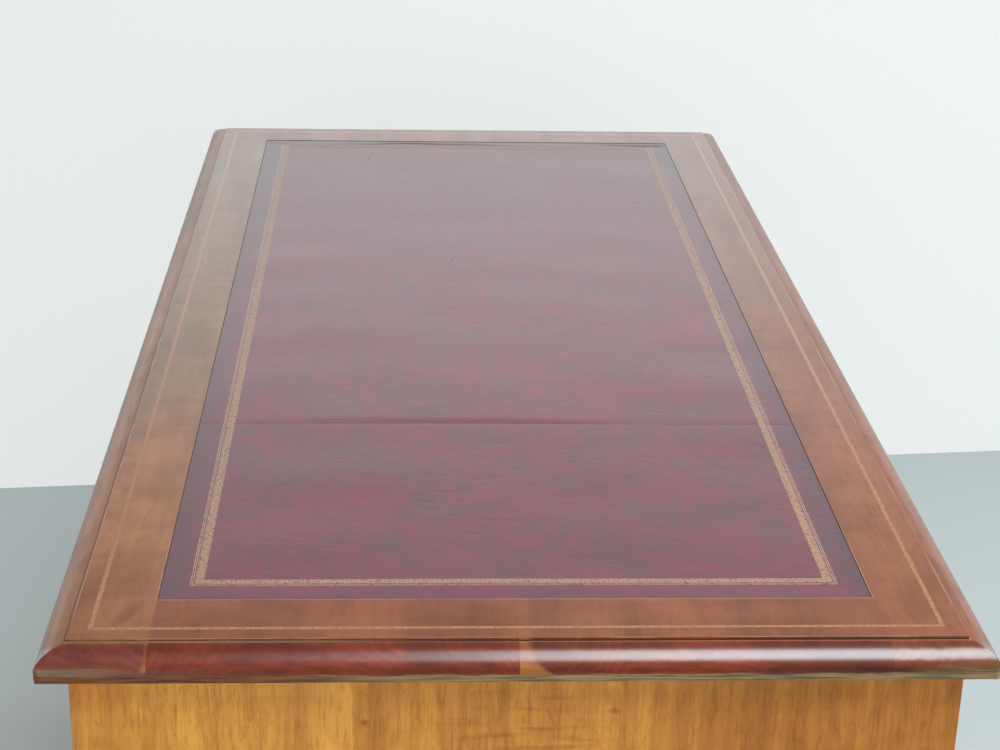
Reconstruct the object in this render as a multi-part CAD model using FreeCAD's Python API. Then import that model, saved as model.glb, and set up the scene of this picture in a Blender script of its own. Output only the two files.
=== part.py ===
import FreeCAD
import Part
import math
import os

# Kneehole desk: a solid moulded top with a leather writing surface, on a one-piece carcass with
# two pedestals of three drawers, three frieze drawers, a panelled back and two plinths.
# Millimetres. X runs along the desk, the kneehole faces -Y, and Z = 0 is the floor.

V = FreeCAD.Vector

# Overall sizes
DESK_HEIGHT = 770.0
TOP_LENGTH = 1220.0
TOP_DEPTH = 593.0
TOP_THICKNESS = 21.0

# Moulded edge of the top
EDGE_PROJECTION = 18.0
QUIRK_DEPTH = 2.0
QUIRK_FLAT = 1.5
NOSE_DEPTH = 15.5
TURN_UNDER = 1.5
CORNER_ROUND = 5.0

# The joint between the two middle boards of the top lies a little towards the back
MID_JOINT_OFFSET = 2.0

# Leather and inlaid stringing of the top
BORDER_WIDTH = 50.0
STRING_FROM_LEATHER = 36.6
STRING_WIDTH = 3.0
STRING_DEPTH = 2.0
LEATHER_RECESS = 2.0
LEATHER_THICKNESS = 1.6
LEATHER_FIT = 0.4

# Carcass boards
END_THICKNESS = 20.0
KNEEHOLE_SIDE_THICKNESS = 18.0
PEDESTAL_WIDTH = 350.0
PEDESTAL_BOTTOM_THICKNESS = 18.0
BLADE_THICKNESS = 18.0
BLADE_DEPTH = 60.0
TOP_RAIL_THICKNESS = 20.0
TOP_RAIL_DEPTH = 60.0
HOUSING_DEPTH = 6.0
RUNNER_WIDTH = 25.0
ARRIS_EASE = 1.0
FRIEZE_OPENING = 112.0

# Panelled back
BACK_THICKNESS = 18.0
STILE_WIDTH = 60.0
BACK_TOP_RAIL_HEIGHT = 60.0
BACK_BOTTOM_RAIL_HEIGHT = 70.0
TENON_LENGTH = 20.0
TENON_THICKNESS = 6.0
TENON_SHOULDER = 10.0
BACK_PANEL_THICKNESS = 8.0
PANEL_GROOVE_DEPTH = 7.0
PANEL_FIT = 1.0

# Plinths
PLINTH_HEIGHT = 80.0
PLINTH_THICKNESS = 18.0
PLINTH_PROUD = 5.0
PLINTH_CHAMFER = 4.0
CORNER_BLOCK_SIZE = 40.0
CORNER_BLOCK_LIFT = 10.0

# Drawers
DRAWER_GAP = 1.0
RUN_GAP = 0.3
FRONT_THICKNESS = 20.0
SIDE_THICKNESS = 9.0
SIDE_INSET = 0.3
SIDE_TOP_GAP = 4.0
DRAWER_BACK_THICKNESS = 9.0
BACK_EDGE_DROP = 6.0
BACK_SPACE = 25.0
DRAWER_BOTTOM_THICKNESS = 6.0
DRAWER_BOTTOM_LIFT = 8.0
BOTTOM_GROOVE_DEPTH = 4.0
BOTTOM_FIT = 0.5
LAP_WALL = 1.5
TAIL_PITCH = 36.0
LEAST_TAILS = 2
TAIL_TIP_SHARE = 0.64
TAIL_ROOT_SHARE = 0.46
DRAWER_LEVELS = ("upper", "middle", "lower")
DRAWER_HEIGHT_SHARES = (0.30, 0.33, 0.37)
STOP_WIDTH = 30.0
STOP_DEPTH = 12.0
STOP_HEIGHT = 5.0
STOP_GAP = 0.3
STOP_PLACE_SHARES = (0.25, 0.75)

# Cock beads round the drawer fronts
BEAD_THICKNESS = 3.0
BEAD_REBATE = 8.0
BEAD_PROJECTION = 1.5
BEAD_ROUND_SHARE = 0.42

# Brass swan-neck handles
POST_SPACING = 70.0
POST_DIAMETER = 9.0
POST_END_ROUND = 3.0
HINGE_OUT = 11.0
ROSE_DIAMETER = 26.0
ROSE_THICKNESS = 2.2
ROSE_ROUND = 1.4
SHANK_DIAMETER = 5.0
SHANK_FIT = 0.1
SHANK_PAST_NUT = 2.0
NUT_SIZE = 10.0
NUT_THICKNESS = 4.0
NUT_FIT = 0.05
PIN_DIAMETER = 4.0
PIN_FIT = 0.05
PIN_PAST_POST = 0.6
BAIL_DIAMETER = 5.0
BAIL_SIDE_GAP = 0.4
BAIL_EYE_LENGTH = 7.5
BAIL_DROP = 36.0
NECK_FLARE = 2.5
NECK_HEIGHT_SHARE = 0.42
GRIP_CORNER_SHARE = 0.60
BEND_SHARE = 0.45
CENTRE_HANDLE_OFFSET = 140.0

# Lock of the centre frieze drawer
LOCK_WIDTH = 60.0
LOCK_HEIGHT = 42.0
LOCK_THICKNESS = 8.0
BOLT_WIDTH = 16.0
BOLT_THICKNESS = 4.0
BOLT_HEIGHT = 24.0
BOLT_FIT = 0.3
BOLT_THROW = 7.0
STRIKE_FIT = 0.7
STRIKE_SPARE = 1.5
KEY_DROP = 31.0
KEY_RADIUS = 2.6
KEY_SLOT_WIDTH = 2.0
KEY_SLOT_LENGTH = 8.0
KEY_IN_CASE = 4.0
ESCUTCHEON_WIDTH = 16.0
ESCUTCHEON_HEIGHT = 27.0
ESCUTCHEON_THICKNESS = 1.2

# Screws that hold the top to the carcass
SCREW_DIAMETER = 4.0
SCREW_HEAD_DIAMETER = 8.0
SCREW_HEAD_HEIGHT = 2.5
SCREW_SINK = 2.0
SCREW_INTO_TOP = 12.0
SCREW_FIT = 0.1
SCREW_FROM_EDGE = 18.0
SCREW_PLACE_SHARES = (-0.84, -0.30, 0.30, 0.84)

# One overrun serves all cuts
OVERRUN = 5.0

# Levels and planes worked out from the sizes above
CARCASS_LENGTH = TOP_LENGTH - 2 * EDGE_PROJECTION
CARCASS_DEPTH = TOP_DEPTH - 2 * EDGE_PROJECTION
LEATHER_LENGTH = CARCASS_LENGTH - 2 * BORDER_WIDTH
LEATHER_DEPTH = CARCASS_DEPTH - 2 * BORDER_WIDTH
CARCASS_TOP = DESK_HEIGHT - TOP_THICKNESS
FRONT_Y = -CARCASS_DEPTH / 2
BACK_Y = CARCASS_DEPTH / 2
BACK_INNER_Y = BACK_Y - BACK_THICKNESS
FRIEZE_TOP = CARCASS_TOP - TOP_RAIL_THICKNESS
FRIEZE_FLOOR = FRIEZE_TOP - FRIEZE_OPENING
PEDESTAL_CEILING = FRIEZE_FLOOR - BLADE_THICKNESS
PEDESTAL_FLOOR = PLINTH_HEIGHT + PEDESTAL_BOTTOM_THICKNESS
END_OUTER_X = CARCASS_LENGTH / 2
END_INNER_X = END_OUTER_X - END_THICKNESS
KNEEHOLE_X = END_OUTER_X - PEDESTAL_WIDTH
SIDE_OUTER_X = KNEEHOLE_X + KNEEHOLE_SIDE_THICKNESS
DRAWER_END_Y = BACK_INNER_Y - BACK_SPACE
HINGE_Y = FRONT_Y - HINGE_OUT
SIDES = {"left": -1, "right": 1}


# Shape helpers

def box(x0, x1, y0, y1, z0, z1):
    """A box between two corners, given in either order along X."""
    low_x = min(x0, x1)
    return Part.makeBox(abs(x1 - x0), y1 - y0, z1 - z0, V(low_x, y0, z0))


def prism(points, direction):
    """A flat outline of points pushed along a direction."""
    return Part.Face(Part.makePolygon(points + points[:1])).extrude(direction)


def rod(start, direction, radius, length):
    return Part.makeCylinder(radius, length, start, direction)


def fused(shapes):
    return shapes[0].multiFuse(shapes[1:]).removeSplitter()


def cut(shape, tools):
    return shape.cut(Part.makeCompound(tools)) if tools else shape


def save(node, *solids):
    shape = solids[0] if len(solids) == 1 else Part.makeCompound(list(solids))
    shape.exportStep(os.path.join("parts", node + ".step"))


def upright_edges(board):
    return [e for e in board.Edges if e.BoundBox.ZLength > e.Length / 2]


def mitred_outlines(x0, x1, y0, y1, width):
    """Four mitred strips of a rectangular frame, as plan outlines."""
    outer = [(x0, y0), (x1, y0), (x1, y1), (x0, y1)]
    inner = [
        (x0 + width, y0 + width),
        (x1 - width, y0 + width),
        (x1 - width, y1 - width),
        (x0 + width, y1 - width),
    ]
    strips = []
    for here in range(4):
        after = (here + 1) % 4
        strips.append([outer[here], outer[after], inner[after], inner[here]])
    return strips


def plan_prism(outline, z0, z1):
    return prism([V(x, y, z0) for x, y in outline], V(0, 0, z1 - z0))


def rounded_path(points):
    """A flat path of straight runs and tangent arcs, each arc as large as its shorter run allows."""
    edges = []
    last = points[0]
    for before, corner, after in zip(points, points[1:], points[2:]):
        back = (before - corner).normalize()
        ahead = (after - corner).normalize()
        run = min((before - corner).Length, (after - corner).Length) * BEND_SHARE
        start = corner + back * run
        end = corner + ahead * run
        half_turn = (math.pi - back.getAngle(ahead)) / 2
        radius = run / math.tan(half_turn)
        middle = (back + ahead).normalize()
        centre = corner + middle * math.hypot(radius, run)
        edges.append(Part.LineSegment(last, start).toShape())
        edges.append(Part.Arc(start, centre - middle * radius, end).toShape())
        last = end
    edges.append(Part.LineSegment(last, points[-1]).toShape())
    return Part.Wire(edges)


# Moulded top

def quarter_ellipse(centre, first, second):
    """The quarter of an ellipse between two points that lie square to each other from its centre."""
    major, minor = first, second
    if (second - centre).Length > (first - centre).Length:
        major, minor = second, first
    ellipse = Part.Ellipse(major, minor, centre)
    return Part.ArcOfEllipse(ellipse, 0, math.pi / 2).toShape()


def moulding_bar(half_width, half_length, sign, lengthwise):
    """One side's moulding as a straight bar: quirk, ovolo, nose and an edge that turns under."""

    def point(out, down):
        across = sign * (half_width - out)
        z = DESK_HEIGHT - down
        return V(-half_length, across, z) if lengthwise else V(across, -half_length, z)

    field = point(EDGE_PROJECTION, 0)
    quirk = point(EDGE_PROJECTION, QUIRK_DEPTH)
    roll = point(EDGE_PROJECTION - QUIRK_FLAT, QUIRK_DEPTH)
    nose = point(0, NOSE_DEPTH)
    base = point(TURN_UNDER, TOP_THICKNESS)
    root = point(EDGE_PROJECTION, TOP_THICKNESS)
    edges = [
        Part.makeLine(field, quirk),
        Part.makeLine(quirk, roll),
        quarter_ellipse(point(EDGE_PROJECTION - QUIRK_FLAT, NOSE_DEPTH), roll, nose),
        quarter_ellipse(point(TURN_UNDER, NOSE_DEPTH), base, nose),
        Part.makeLine(base, root),
        Part.makeLine(root, field),
    ]
    along = V(2 * half_length, 0, 0) if lengthwise else V(0, 2 * half_length, 0)
    return Part.Face(Part.Wire(edges)).extrude(along)


def moulded_board():
    """The whole top in one piece: a plain board with four mouldings that meet in mitres."""
    half_x = TOP_LENGTH / 2
    half_y = TOP_DEPTH / 2
    outlines = mitred_outlines(-half_x, half_x, -half_y, half_y, EDGE_PROJECTION)
    bars = [
        moulding_bar(half_y, half_x, -1, True),
        moulding_bar(half_x, half_y, 1, False),
        moulding_bar(half_y, half_x, 1, True),
        moulding_bar(half_x, half_y, -1, False),
    ]
    strips = [bar.common(plan_prism(o, CARCASS_TOP, DESK_HEIGHT)) for bar, o in zip(bars, outlines)]
    field_x = half_x - EDGE_PROJECTION
    field_y = half_y - EDGE_PROJECTION
    field = box(-field_x, field_x, -field_y, field_y, CARCASS_TOP, DESK_HEIGHT)
    rounded = box(-half_x, half_x, -half_y, half_y, CARCASS_TOP, DESK_HEIGHT)
    rounded = rounded.makeFillet(CORNER_ROUND, upright_edges(rounded))
    return fused([field] + strips).common(rounded)


def string_outlines():
    reach = STRING_FROM_LEATHER + STRING_WIDTH / 2
    half_x = LEATHER_LENGTH / 2 + reach
    half_y = LEATHER_DEPTH / 2 + reach
    return mitred_outlines(-half_x, half_x, -half_y, half_y, STRING_WIDTH)


def stringing():
    return [plan_prism(o, DESK_HEIGHT - STRING_DEPTH, DESK_HEIGHT) for o in string_outlines()]


def leather():
    half_x = LEATHER_LENGTH / 2 - LEATHER_FIT
    half_y = LEATHER_DEPTH / 2 - LEATHER_FIT
    floor = DESK_HEIGHT - LEATHER_RECESS
    return box(-half_x, half_x, -half_y, half_y, floor, floor + LEATHER_THICKNESS)


def screw(x, y, grow):
    """A countersunk screw that comes up through a top rail, or the hole for it."""
    head_z = FRIEZE_TOP + SCREW_SINK - grow
    shank = SCREW_DIAMETER / 2 + grow
    head = SCREW_HEAD_DIAMETER / 2 + grow
    tip_z = CARCASS_TOP + SCREW_INTO_TOP + grow
    cone = Part.makeCone(head, shank, SCREW_HEAD_HEIGHT, V(x, y, head_z))
    return fused([cone, rod(V(x, y, head_z), V(0, 0, 1), shank, tip_z - head_z)])


def screw_places():
    front = FRONT_Y + SCREW_FROM_EDGE
    back = BACK_INNER_Y - SCREW_FROM_EDGE
    return [(share * END_INNER_X, y) for y in (front, back) for share in SCREW_PLACE_SHARES]


def screw_holes():
    """Screw holes with a clear well below each sunk head."""
    holes = []
    for x, y in screw_places():
        well = SCREW_HEAD_DIAMETER / 2 + SCREW_FIT
        holes.append(screw(x, y, SCREW_FIT))
        holes.append(rod(V(x, y, FRIEZE_TOP - OVERRUN), V(0, 0, 1), well, SCREW_SINK + OVERRUN))
    return holes


def make_top():
    half_x = LEATHER_LENGTH / 2
    half_y = LEATHER_DEPTH / 2
    recess = box(-half_x, half_x, -half_y, half_y, DESK_HEIGHT - LEATHER_RECESS, DESK_HEIGHT + OVERRUN)
    board = cut(moulded_board(), [recess] + screw_holes())
    for strip in stringing():
        board = board.cut(strip)
    joints = (-TOP_DEPTH / 2, -half_y, MID_JOINT_OFFSET, half_y, TOP_DEPTH / 2)
    names = ("top_plank_front", "top_plank_mid_front", "top_plank_mid_back", "top_plank_back")
    reach = TOP_LENGTH / 2 + OVERRUN
    for name, y0, y1 in zip(names, joints, joints[1:]):
        save(name, board.common(box(-reach, reach, y0, y1, CARCASS_TOP, DESK_HEIGHT)))
    save("boxwood_stringing", *stringing())
    save("leather_inset", leather())
    save("top_screws", *[screw(x, y, 0) for x, y in screw_places()])


# Carcass

def pedestal_levels():
    """The bottom and top of each drawer opening in a pedestal, from the upper drawer down."""
    free = PEDESTAL_CEILING - PEDESTAL_FLOOR - 2 * BLADE_THICKNESS
    levels = {}
    ceiling = PEDESTAL_CEILING
    for name, share in zip(DRAWER_LEVELS, DRAWER_HEIGHT_SHARES):
        levels[name] = (ceiling - share * free, ceiling)
        ceiling = ceiling - share * free - BLADE_THICKNESS
    return levels


def rails_and_kickers():
    """Top rails, let into the ends, and the kickers that keep the frieze drawers from tipping."""
    reach = END_INNER_X + HOUSING_DEPTH
    front_inner = FRONT_Y + TOP_RAIL_DEPTH
    back_inner = BACK_INNER_Y - TOP_RAIL_DEPTH
    rails = [
        box(-reach, reach, FRONT_Y, front_inner, FRIEZE_TOP, CARCASS_TOP),
        box(-reach, reach, back_inner, BACK_INNER_Y, FRIEZE_TOP, CARCASS_TOP),
    ]
    kickers = []
    for sign in SIDES.values():
        for face, inward in ((END_INNER_X, -1), (SIDE_OUTER_X, 1), (KNEEHOLE_X, -1)):
            x0 = sign * face
            x1 = sign * (face + inward * RUNNER_WIDTH)
            kickers.append(box(x0, x1, front_inner, back_inner, FRIEZE_TOP, CARCASS_TOP))
    return rails, kickers


def strike_mortise():
    """The slot in the front top rail that the lock's bolt rises into."""
    half_x = BOLT_WIDTH / 2 + STRIKE_FIT
    half_y = BOLT_THICKNESS / 2 + STRIKE_FIT
    y = lock_middle_y()
    depth = BOLT_THROW + STRIKE_SPARE
    return box(-half_x, half_x, y - half_y, y + half_y, FRIEZE_TOP - OVERRUN, FRIEZE_TOP + depth)


def drawer_blades():
    """Rails between the drawers, housed into the uprights at both ends."""
    blades = []
    rear = FRONT_Y + BLADE_DEPTH
    lows = [PEDESTAL_CEILING] + [z0 - BLADE_THICKNESS for z0, _ in pedestal_levels().values()][:-1]
    for sign in SIDES.values():
        x0 = sign * (END_INNER_X + HOUSING_DEPTH)
        x1 = sign * (SIDE_OUTER_X - HOUSING_DEPTH)
        blades += [box(x0, x1, FRONT_Y, rear, z, z + BLADE_THICKNESS) for z in lows]
    reach = KNEEHOLE_X + HOUSING_DEPTH
    blades.append(box(-reach, reach, FRONT_Y, rear, PEDESTAL_CEILING, FRIEZE_FLOOR))
    return blades


def kneehole_ceiling():
    reach = KNEEHOLE_X + HOUSING_DEPTH
    return box(-reach, reach, FRONT_Y + BLADE_DEPTH, BACK_INNER_Y, PEDESTAL_CEILING, FRIEZE_FLOOR)


def pedestal_bottom(sign):
    x0 = sign * (END_INNER_X + HOUSING_DEPTH)
    x1 = sign * (SIDE_OUTER_X - HOUSING_DEPTH)
    return box(x0, x1, FRONT_Y, BACK_INNER_Y, PLINTH_HEIGHT, PEDESTAL_FLOOR)


def drawer_runners():
    """Strips behind the blades that carry the drawer sides; the lowest drawers run on the bottoms."""
    tops = [FRIEZE_FLOOR] + [z0 for z0, _ in pedestal_levels().values()][:-1]
    runners = []
    for sign in SIDES.values():
        for face, inward in ((END_INNER_X, -1), (SIDE_OUTER_X, 1)):
            x0 = sign * face
            x1 = sign * (face + inward * RUNNER_WIDTH)
            for z in tops:
                runners.append(box(x0, x1, FRONT_Y + BLADE_DEPTH, BACK_INNER_Y, z - BLADE_THICKNESS, z))
    return runners


def drawer_stops():
    stops = []
    y0 = FRONT_Y + FRONT_THICKNESS + STOP_GAP
    for place in openings().values():
        width = place["x1"] - place["x0"]
        for share in STOP_PLACE_SHARES:
            x = place["x0"] + share * width
            half = STOP_WIDTH / 2
            z0 = place["z0"]
            stops.append(box(x - half, x + half, y0, y0 + STOP_DEPTH, z0, z0 + STOP_HEIGHT))
    return stops


def eased(board):
    """Takes the sharp arris off the upright edges of a board."""
    return board.makeFillet(ARRIS_EASE, upright_edges(board))


def end_panel(sign, let_in):
    board = box(sign * END_INNER_X, sign * END_OUTER_X, FRONT_Y, BACK_Y, PLINTH_HEIGHT, CARCASS_TOP)
    return cut(eased(board), let_in)


def kneehole_side(sign, let_in):
    board = box(sign * KNEEHOLE_X, sign * SIDE_OUTER_X, FRONT_Y, BACK_INNER_Y, PLINTH_HEIGHT, CARCASS_TOP)
    return cut(board, let_in)


def make_carcass():
    rails, kickers = rails_and_kickers()
    blades = drawer_blades()
    bottoms = [pedestal_bottom(sign) for sign in SIDES.values()]
    ceiling = kneehole_ceiling()
    let_in = rails + blades + bottoms + [ceiling]
    for name, sign in SIDES.items():
        save(name + "_end_panel", end_panel(sign, let_in))
        save(name + "_kneehole_side", kneehole_side(sign, let_in))
    holed = [cut(rails[0], screw_holes() + [strike_mortise()]), cut(rails[1], screw_holes())]
    save("top_rails_and_kickers", *holed, *kickers)
    save("drawer_blades", *blades)
    save("pedestal_bottoms", *bottoms)
    save("kneehole_ceiling", ceiling)
    save("drawer_runners", *drawer_runners())
    save("drawer_stops", *drawer_stops())


# Panelled back

def back_bays():
    """The clear openings of the three back panels along X."""
    outer = END_INNER_X - STILE_WIDTH
    middle = (KNEEHOLE_X + SIDE_OUTER_X) / 2
    near = middle + STILE_WIDTH / 2
    far = middle - STILE_WIDTH / 2
    return [(-outer, -near), (-far, far), (near, outer)]


def make_back():
    low = PLINTH_HEIGHT + BACK_BOTTOM_RAIL_HEIGHT
    high = CARCASS_TOP - BACK_TOP_RAIL_HEIGHT
    middle_y = BACK_Y - BACK_THICKNESS / 2
    panels = []
    grooves = []
    rails = []
    tenons = []
    for x0, x1 in back_bays():
        hold = PANEL_GROOVE_DEPTH - PANEL_FIT
        half = BACK_PANEL_THICKNESS / 2
        panels.append(box(x0 - hold, x1 + hold, middle_y - half, middle_y + half, low - hold, high + hold))
        deep = PANEL_GROOVE_DEPTH
        grooves.append(box(x0 - deep, x1 + deep, middle_y - half, middle_y + half, low - deep, high + deep))
        for z0, z1 in ((PLINTH_HEIGHT, low), (high, CARCASS_TOP)):
            rail = box(x0, x1, BACK_INNER_Y, BACK_Y, z0, z1)
            tongue = box(
                x0 - TENON_LENGTH,
                x1 + TENON_LENGTH,
                middle_y - TENON_THICKNESS / 2,
                middle_y + TENON_THICKNESS / 2,
                z0 + TENON_SHOULDER,
                z1 - TENON_SHOULDER,
            )
            tenons.append(tongue)
            rails.append(fused([rail, tongue]))
    edges = [-END_INNER_X] + [x for bay in back_bays() for x in bay] + [END_INNER_X]
    stiles = []
    for x0, x1 in zip(edges[::2], edges[1::2]):
        stile = box(x0, x1, BACK_INNER_Y, BACK_Y, PLINTH_HEIGHT, CARCASS_TOP)
        stiles.append(cut(stile, tenons + grooves))
    save("back_frame", *stiles, *[cut(rail, grooves) for rail in rails])
    save("back_panels", *panels)


# Plinths

def plinth(sign):
    """A mitred box of four boards under a pedestal, proud of it and chamfered at the top."""
    x0, x1 = sorted((sign * (END_OUTER_X + PLINTH_PROUD), sign * (KNEEHOLE_X - PLINTH_PROUD)))
    y0 = FRONT_Y - PLINTH_PROUD
    y1 = BACK_Y + PLINTH_PROUD
    block = box(x0, x1, y0, y1, 0, PLINTH_HEIGHT)
    rim = [e for e in block.Edges if e.BoundBox.ZMin > PLINTH_HEIGHT / 2]
    block = block.makeChamfer(PLINTH_CHAMFER, rim)
    outlines = mitred_outlines(x0, x1, y0, y1, PLINTH_THICKNESS)
    boards = [block.common(plan_prism(outline, 0, PLINTH_HEIGHT)) for outline in outlines]
    inset = PLINTH_THICKNESS
    blocks = []
    for x, into_x in ((x0 + inset, 1), (x1 - inset, -1)):
        for y, into_y in ((y0 + inset, 1), (y1 - inset, -1)):
            corner = [(x, y), (x + into_x * CORNER_BLOCK_SIZE, y), (x, y + into_y * CORNER_BLOCK_SIZE)]
            blocks.append(plan_prism(corner, CORNER_BLOCK_LIFT, PLINTH_HEIGHT))
    return boards, blocks


def make_plinths():
    all_blocks = []
    for name, sign in SIDES.items():
        boards, blocks = plinth(sign)
        save(name + "_plinth", *boards)
        all_blocks += blocks
    save("plinth_corner_blocks", *all_blocks)


# Drawers

def opening(x0, x1, z0, z1, handles):
    return {"x0": x0, "x1": x1, "z0": z0, "z1": z1, "handles": handles}


def openings():
    """Each drawer's opening in the carcass front, with the places of its handles along X."""
    found = {}
    for name, sign in SIDES.items():
        x0, x1 = sorted((sign * SIDE_OUTER_X, sign * END_INNER_X))
        handles = {"": (x0 + x1) / 2}
        found["frieze_" + name] = opening(x0, x1, FRIEZE_FLOOR, FRIEZE_TOP, handles)
        for level, (z0, z1) in pedestal_levels().items():
            found[name + "_" + level] = opening(x0, x1, z0, z1, handles)
    handles = {"_" + name: sign * CENTRE_HANDLE_OFFSET for name, sign in SIDES.items()}
    found["frieze_centre"] = opening(-KNEEHOLE_X, KNEEHOLE_X, FRIEZE_FLOOR, FRIEZE_TOP, handles)
    return found


def tails(x0, x1, y_root, y_tip, z0, z1):
    """Dovetails across a board's thickness, wider at the tip than at the root."""
    count = max(LEAST_TAILS, int((z1 - z0) // TAIL_PITCH))
    pitch = (z1 - z0) / count
    made = []
    for step in range(count):
        z = z0 + (step + 0.5) * pitch
        root = TAIL_ROOT_SHARE * pitch / 2
        tip = TAIL_TIP_SHARE * pitch / 2
        corners = [(y_root, z - root), (y_tip, z - tip), (y_tip, z + tip), (y_root, z + root)]
        made.append(prism([V(x0, y, corner_z) for y, corner_z in corners], V(x1 - x0, 0, 0)))
    return made


def drawer_box(place):
    """The two dovetailed sides, the back and the bottom, and the shapes that they let into the front."""
    front_back = FRONT_Y + FRONT_THICKNESS
    lap = front_back - (FRONT_THICKNESS - BEAD_REBATE - LAP_WALL)
    left = place["x0"] + DRAWER_GAP + SIDE_INSET
    right = place["x1"] - DRAWER_GAP - SIDE_INSET
    foot = place["z0"] + RUN_GAP
    rim = place["z1"] - SIDE_TOP_GAP
    bottom_z = foot + DRAWER_BOTTOM_LIFT
    back_foot = bottom_z + DRAWER_BOTTOM_THICKNESS
    back_rim = rim - BACK_EDGE_DROP
    back_y = DRAWER_END_Y - DRAWER_BACK_THICKNESS
    in_left = left + SIDE_THICKNESS
    in_right = right - SIDE_THICKNESS
    hold = BOTTOM_GROOVE_DEPTH - BOTTOM_FIT
    bottom = box(in_left - hold, in_right + hold, front_back - hold, DRAWER_END_Y, bottom_z, back_foot)
    deep = BOTTOM_GROOVE_DEPTH
    groove = box(in_left - deep, in_right + deep, front_back - deep, DRAWER_END_Y, bottom_z, back_foot)
    back = box(left, right, back_y, DRAWER_END_Y, back_foot, back_rim)
    sides = []
    sockets = []
    for x0, x1 in ((left, in_left), (in_right, right)):
        front_tails = tails(x0, x1, front_back, lap, back_foot, rim)
        back_tails = tails(x0, x1, back_y, DRAWER_END_Y, back_foot, back_rim)
        board = box(x0, x1, front_back, back_y, foot, rim)
        heel = box(x0, x1, back_y, DRAWER_END_Y, foot, back_foot)
        side = fused([board, heel] + front_tails + back_tails)
        sides.append(side.cut(groove))
        sockets += front_tails
        back = cut(back, back_tails)
    return sides + [back, bottom], sockets + [groove]


def cock_beads(x0, x1, z0, z1):
    """Four mitred beads let into the edges of a drawer front, with rounded noses."""
    rear = FRONT_Y + BEAD_REBATE
    nose = FRONT_Y - BEAD_PROJECTION
    beads = []
    for outline in mitred_outlines(x0, x1, z0, z1, BEAD_THICKNESS):
        strip = prism([V(x, nose, z) for x, z in outline], V(0, rear - nose, 0))
        front_edges = [e for e in strip.Edges if e.BoundBox.YMax < FRONT_Y]
        long_edges = sorted(front_edges, key=lambda e: e.Length)[-2:]
        beads.append(strip.makeFillet(BEAD_ROUND_SHARE * BEAD_THICKNESS, long_edges))
    return beads


def keyhole(z, y0, y1):
    shaft = rod(V(0, y0, z), V(0, 1, 0), KEY_RADIUS, y1 - y0)
    half = KEY_SLOT_WIDTH / 2
    return fused([shaft, box(-half, half, y0, y1, z - KEY_SLOT_LENGTH, z)])


def lock_middle_y():
    return FRONT_Y + FRONT_THICKNESS - LOCK_THICKNESS / 2


def lock_parts(front_top):
    """Lock case, bolt and escutcheon of the centre drawer, and the cuts that they need in its front."""
    half = LOCK_WIDTH / 2
    rear = FRONT_Y + FRONT_THICKNESS
    case = box(-half, half, rear - LOCK_THICKNESS, rear, front_top - LOCK_HEIGHT, front_top)
    bolt_x = BOLT_WIDTH / 2
    bolt_y = BOLT_THICKNESS / 2
    y = lock_middle_y()
    bolt = box(-bolt_x, bolt_x, y - bolt_y, y + bolt_y, front_top - BOLT_HEIGHT, front_top)
    slot = box(
        -bolt_x - BOLT_FIT,
        bolt_x + BOLT_FIT,
        y - bolt_y - BOLT_FIT,
        y + bolt_y + BOLT_FIT,
        front_top - BOLT_HEIGHT - BOLT_FIT,
        front_top + OVERRUN,
    )
    key_z = front_top - KEY_DROP
    pierced = keyhole(key_z, FRONT_Y - OVERRUN, rear - LOCK_THICKNESS + KEY_IN_CASE)
    plate_half = ESCUTCHEON_WIDTH / 2
    plate_z = key_z - KEY_SLOT_LENGTH / 2
    rise = ESCUTCHEON_HEIGHT / 2 - plate_half
    plate_y = FRONT_Y - ESCUTCHEON_THICKNESS
    plate = fused([
        box(-plate_half, plate_half, plate_y, FRONT_Y, plate_z - rise, plate_z + rise),
        rod(V(0, plate_y, plate_z + rise), V(0, 1, 0), plate_half, ESCUTCHEON_THICKNESS),
        rod(V(0, plate_y, plate_z - rise), V(0, 1, 0), plate_half, ESCUTCHEON_THICKNESS),
    ])
    return [cut(case, [slot, pierced]), plate.cut(pierced)], bolt, [case, pierced]


# Handles

def handle_posts(x_middle, z):
    """Roses, pivot posts and nuts of one handle, and the bolt holes through the drawer front."""
    fittings = []
    holes = []
    outward = V(0, -1, 0)
    inward = V(0, 1, 0)
    rose_y = FRONT_Y - ROSE_THICKNESS
    head_length = HINGE_OUT + POST_DIAMETER / 2 - ROSE_THICKNESS
    shank_length = ROSE_THICKNESS + FRONT_THICKNESS + NUT_THICKNESS + SHANK_PAST_NUT
    for x in (x_middle - POST_SPACING / 2, x_middle + POST_SPACING / 2):
        hole = rod(V(x, rose_y, z), inward, SHANK_DIAMETER / 2 + SHANK_FIT, ROSE_THICKNESS + FRONT_THICKNESS)
        rose = rod(V(x, FRONT_Y, z), outward, ROSE_DIAMETER / 2, ROSE_THICKNESS)
        rim = [e for e in rose.Edges if e.BoundBox.YMax < FRONT_Y - ROSE_THICKNESS / 2]
        rose = rose.makeFillet(ROSE_ROUND, rim[:1])
        head = rod(V(x, rose_y, z), outward, POST_DIAMETER / 2, head_length)
        tip = [e for e in head.Edges if e.BoundBox.YMax < HINGE_Y]
        head = head.makeFillet(POST_END_ROUND, tip[:1])
        shank = rod(V(x, rose_y, z), inward, SHANK_DIAMETER / 2, shank_length)
        pin_hole = rod(
            V(x - POST_DIAMETER, HINGE_Y, z), V(1, 0, 0), PIN_DIAMETER / 2 + PIN_FIT, 2 * POST_DIAMETER
        )
        half = NUT_SIZE / 2
        nut_y = FRONT_Y + FRONT_THICKNESS
        nut = box(x - half, x + half, nut_y, nut_y + NUT_THICKNESS, z - half, z + half)
        bore = rod(V(x, nut_y, z), inward, SHANK_DIAMETER / 2 + NUT_FIT, NUT_THICKNESS)
        fittings += [rose.cut(hole), fused([head, shank]).cut(pin_hole), nut.cut(bore)]
        holes.append(hole)
    return fittings, holes


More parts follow.
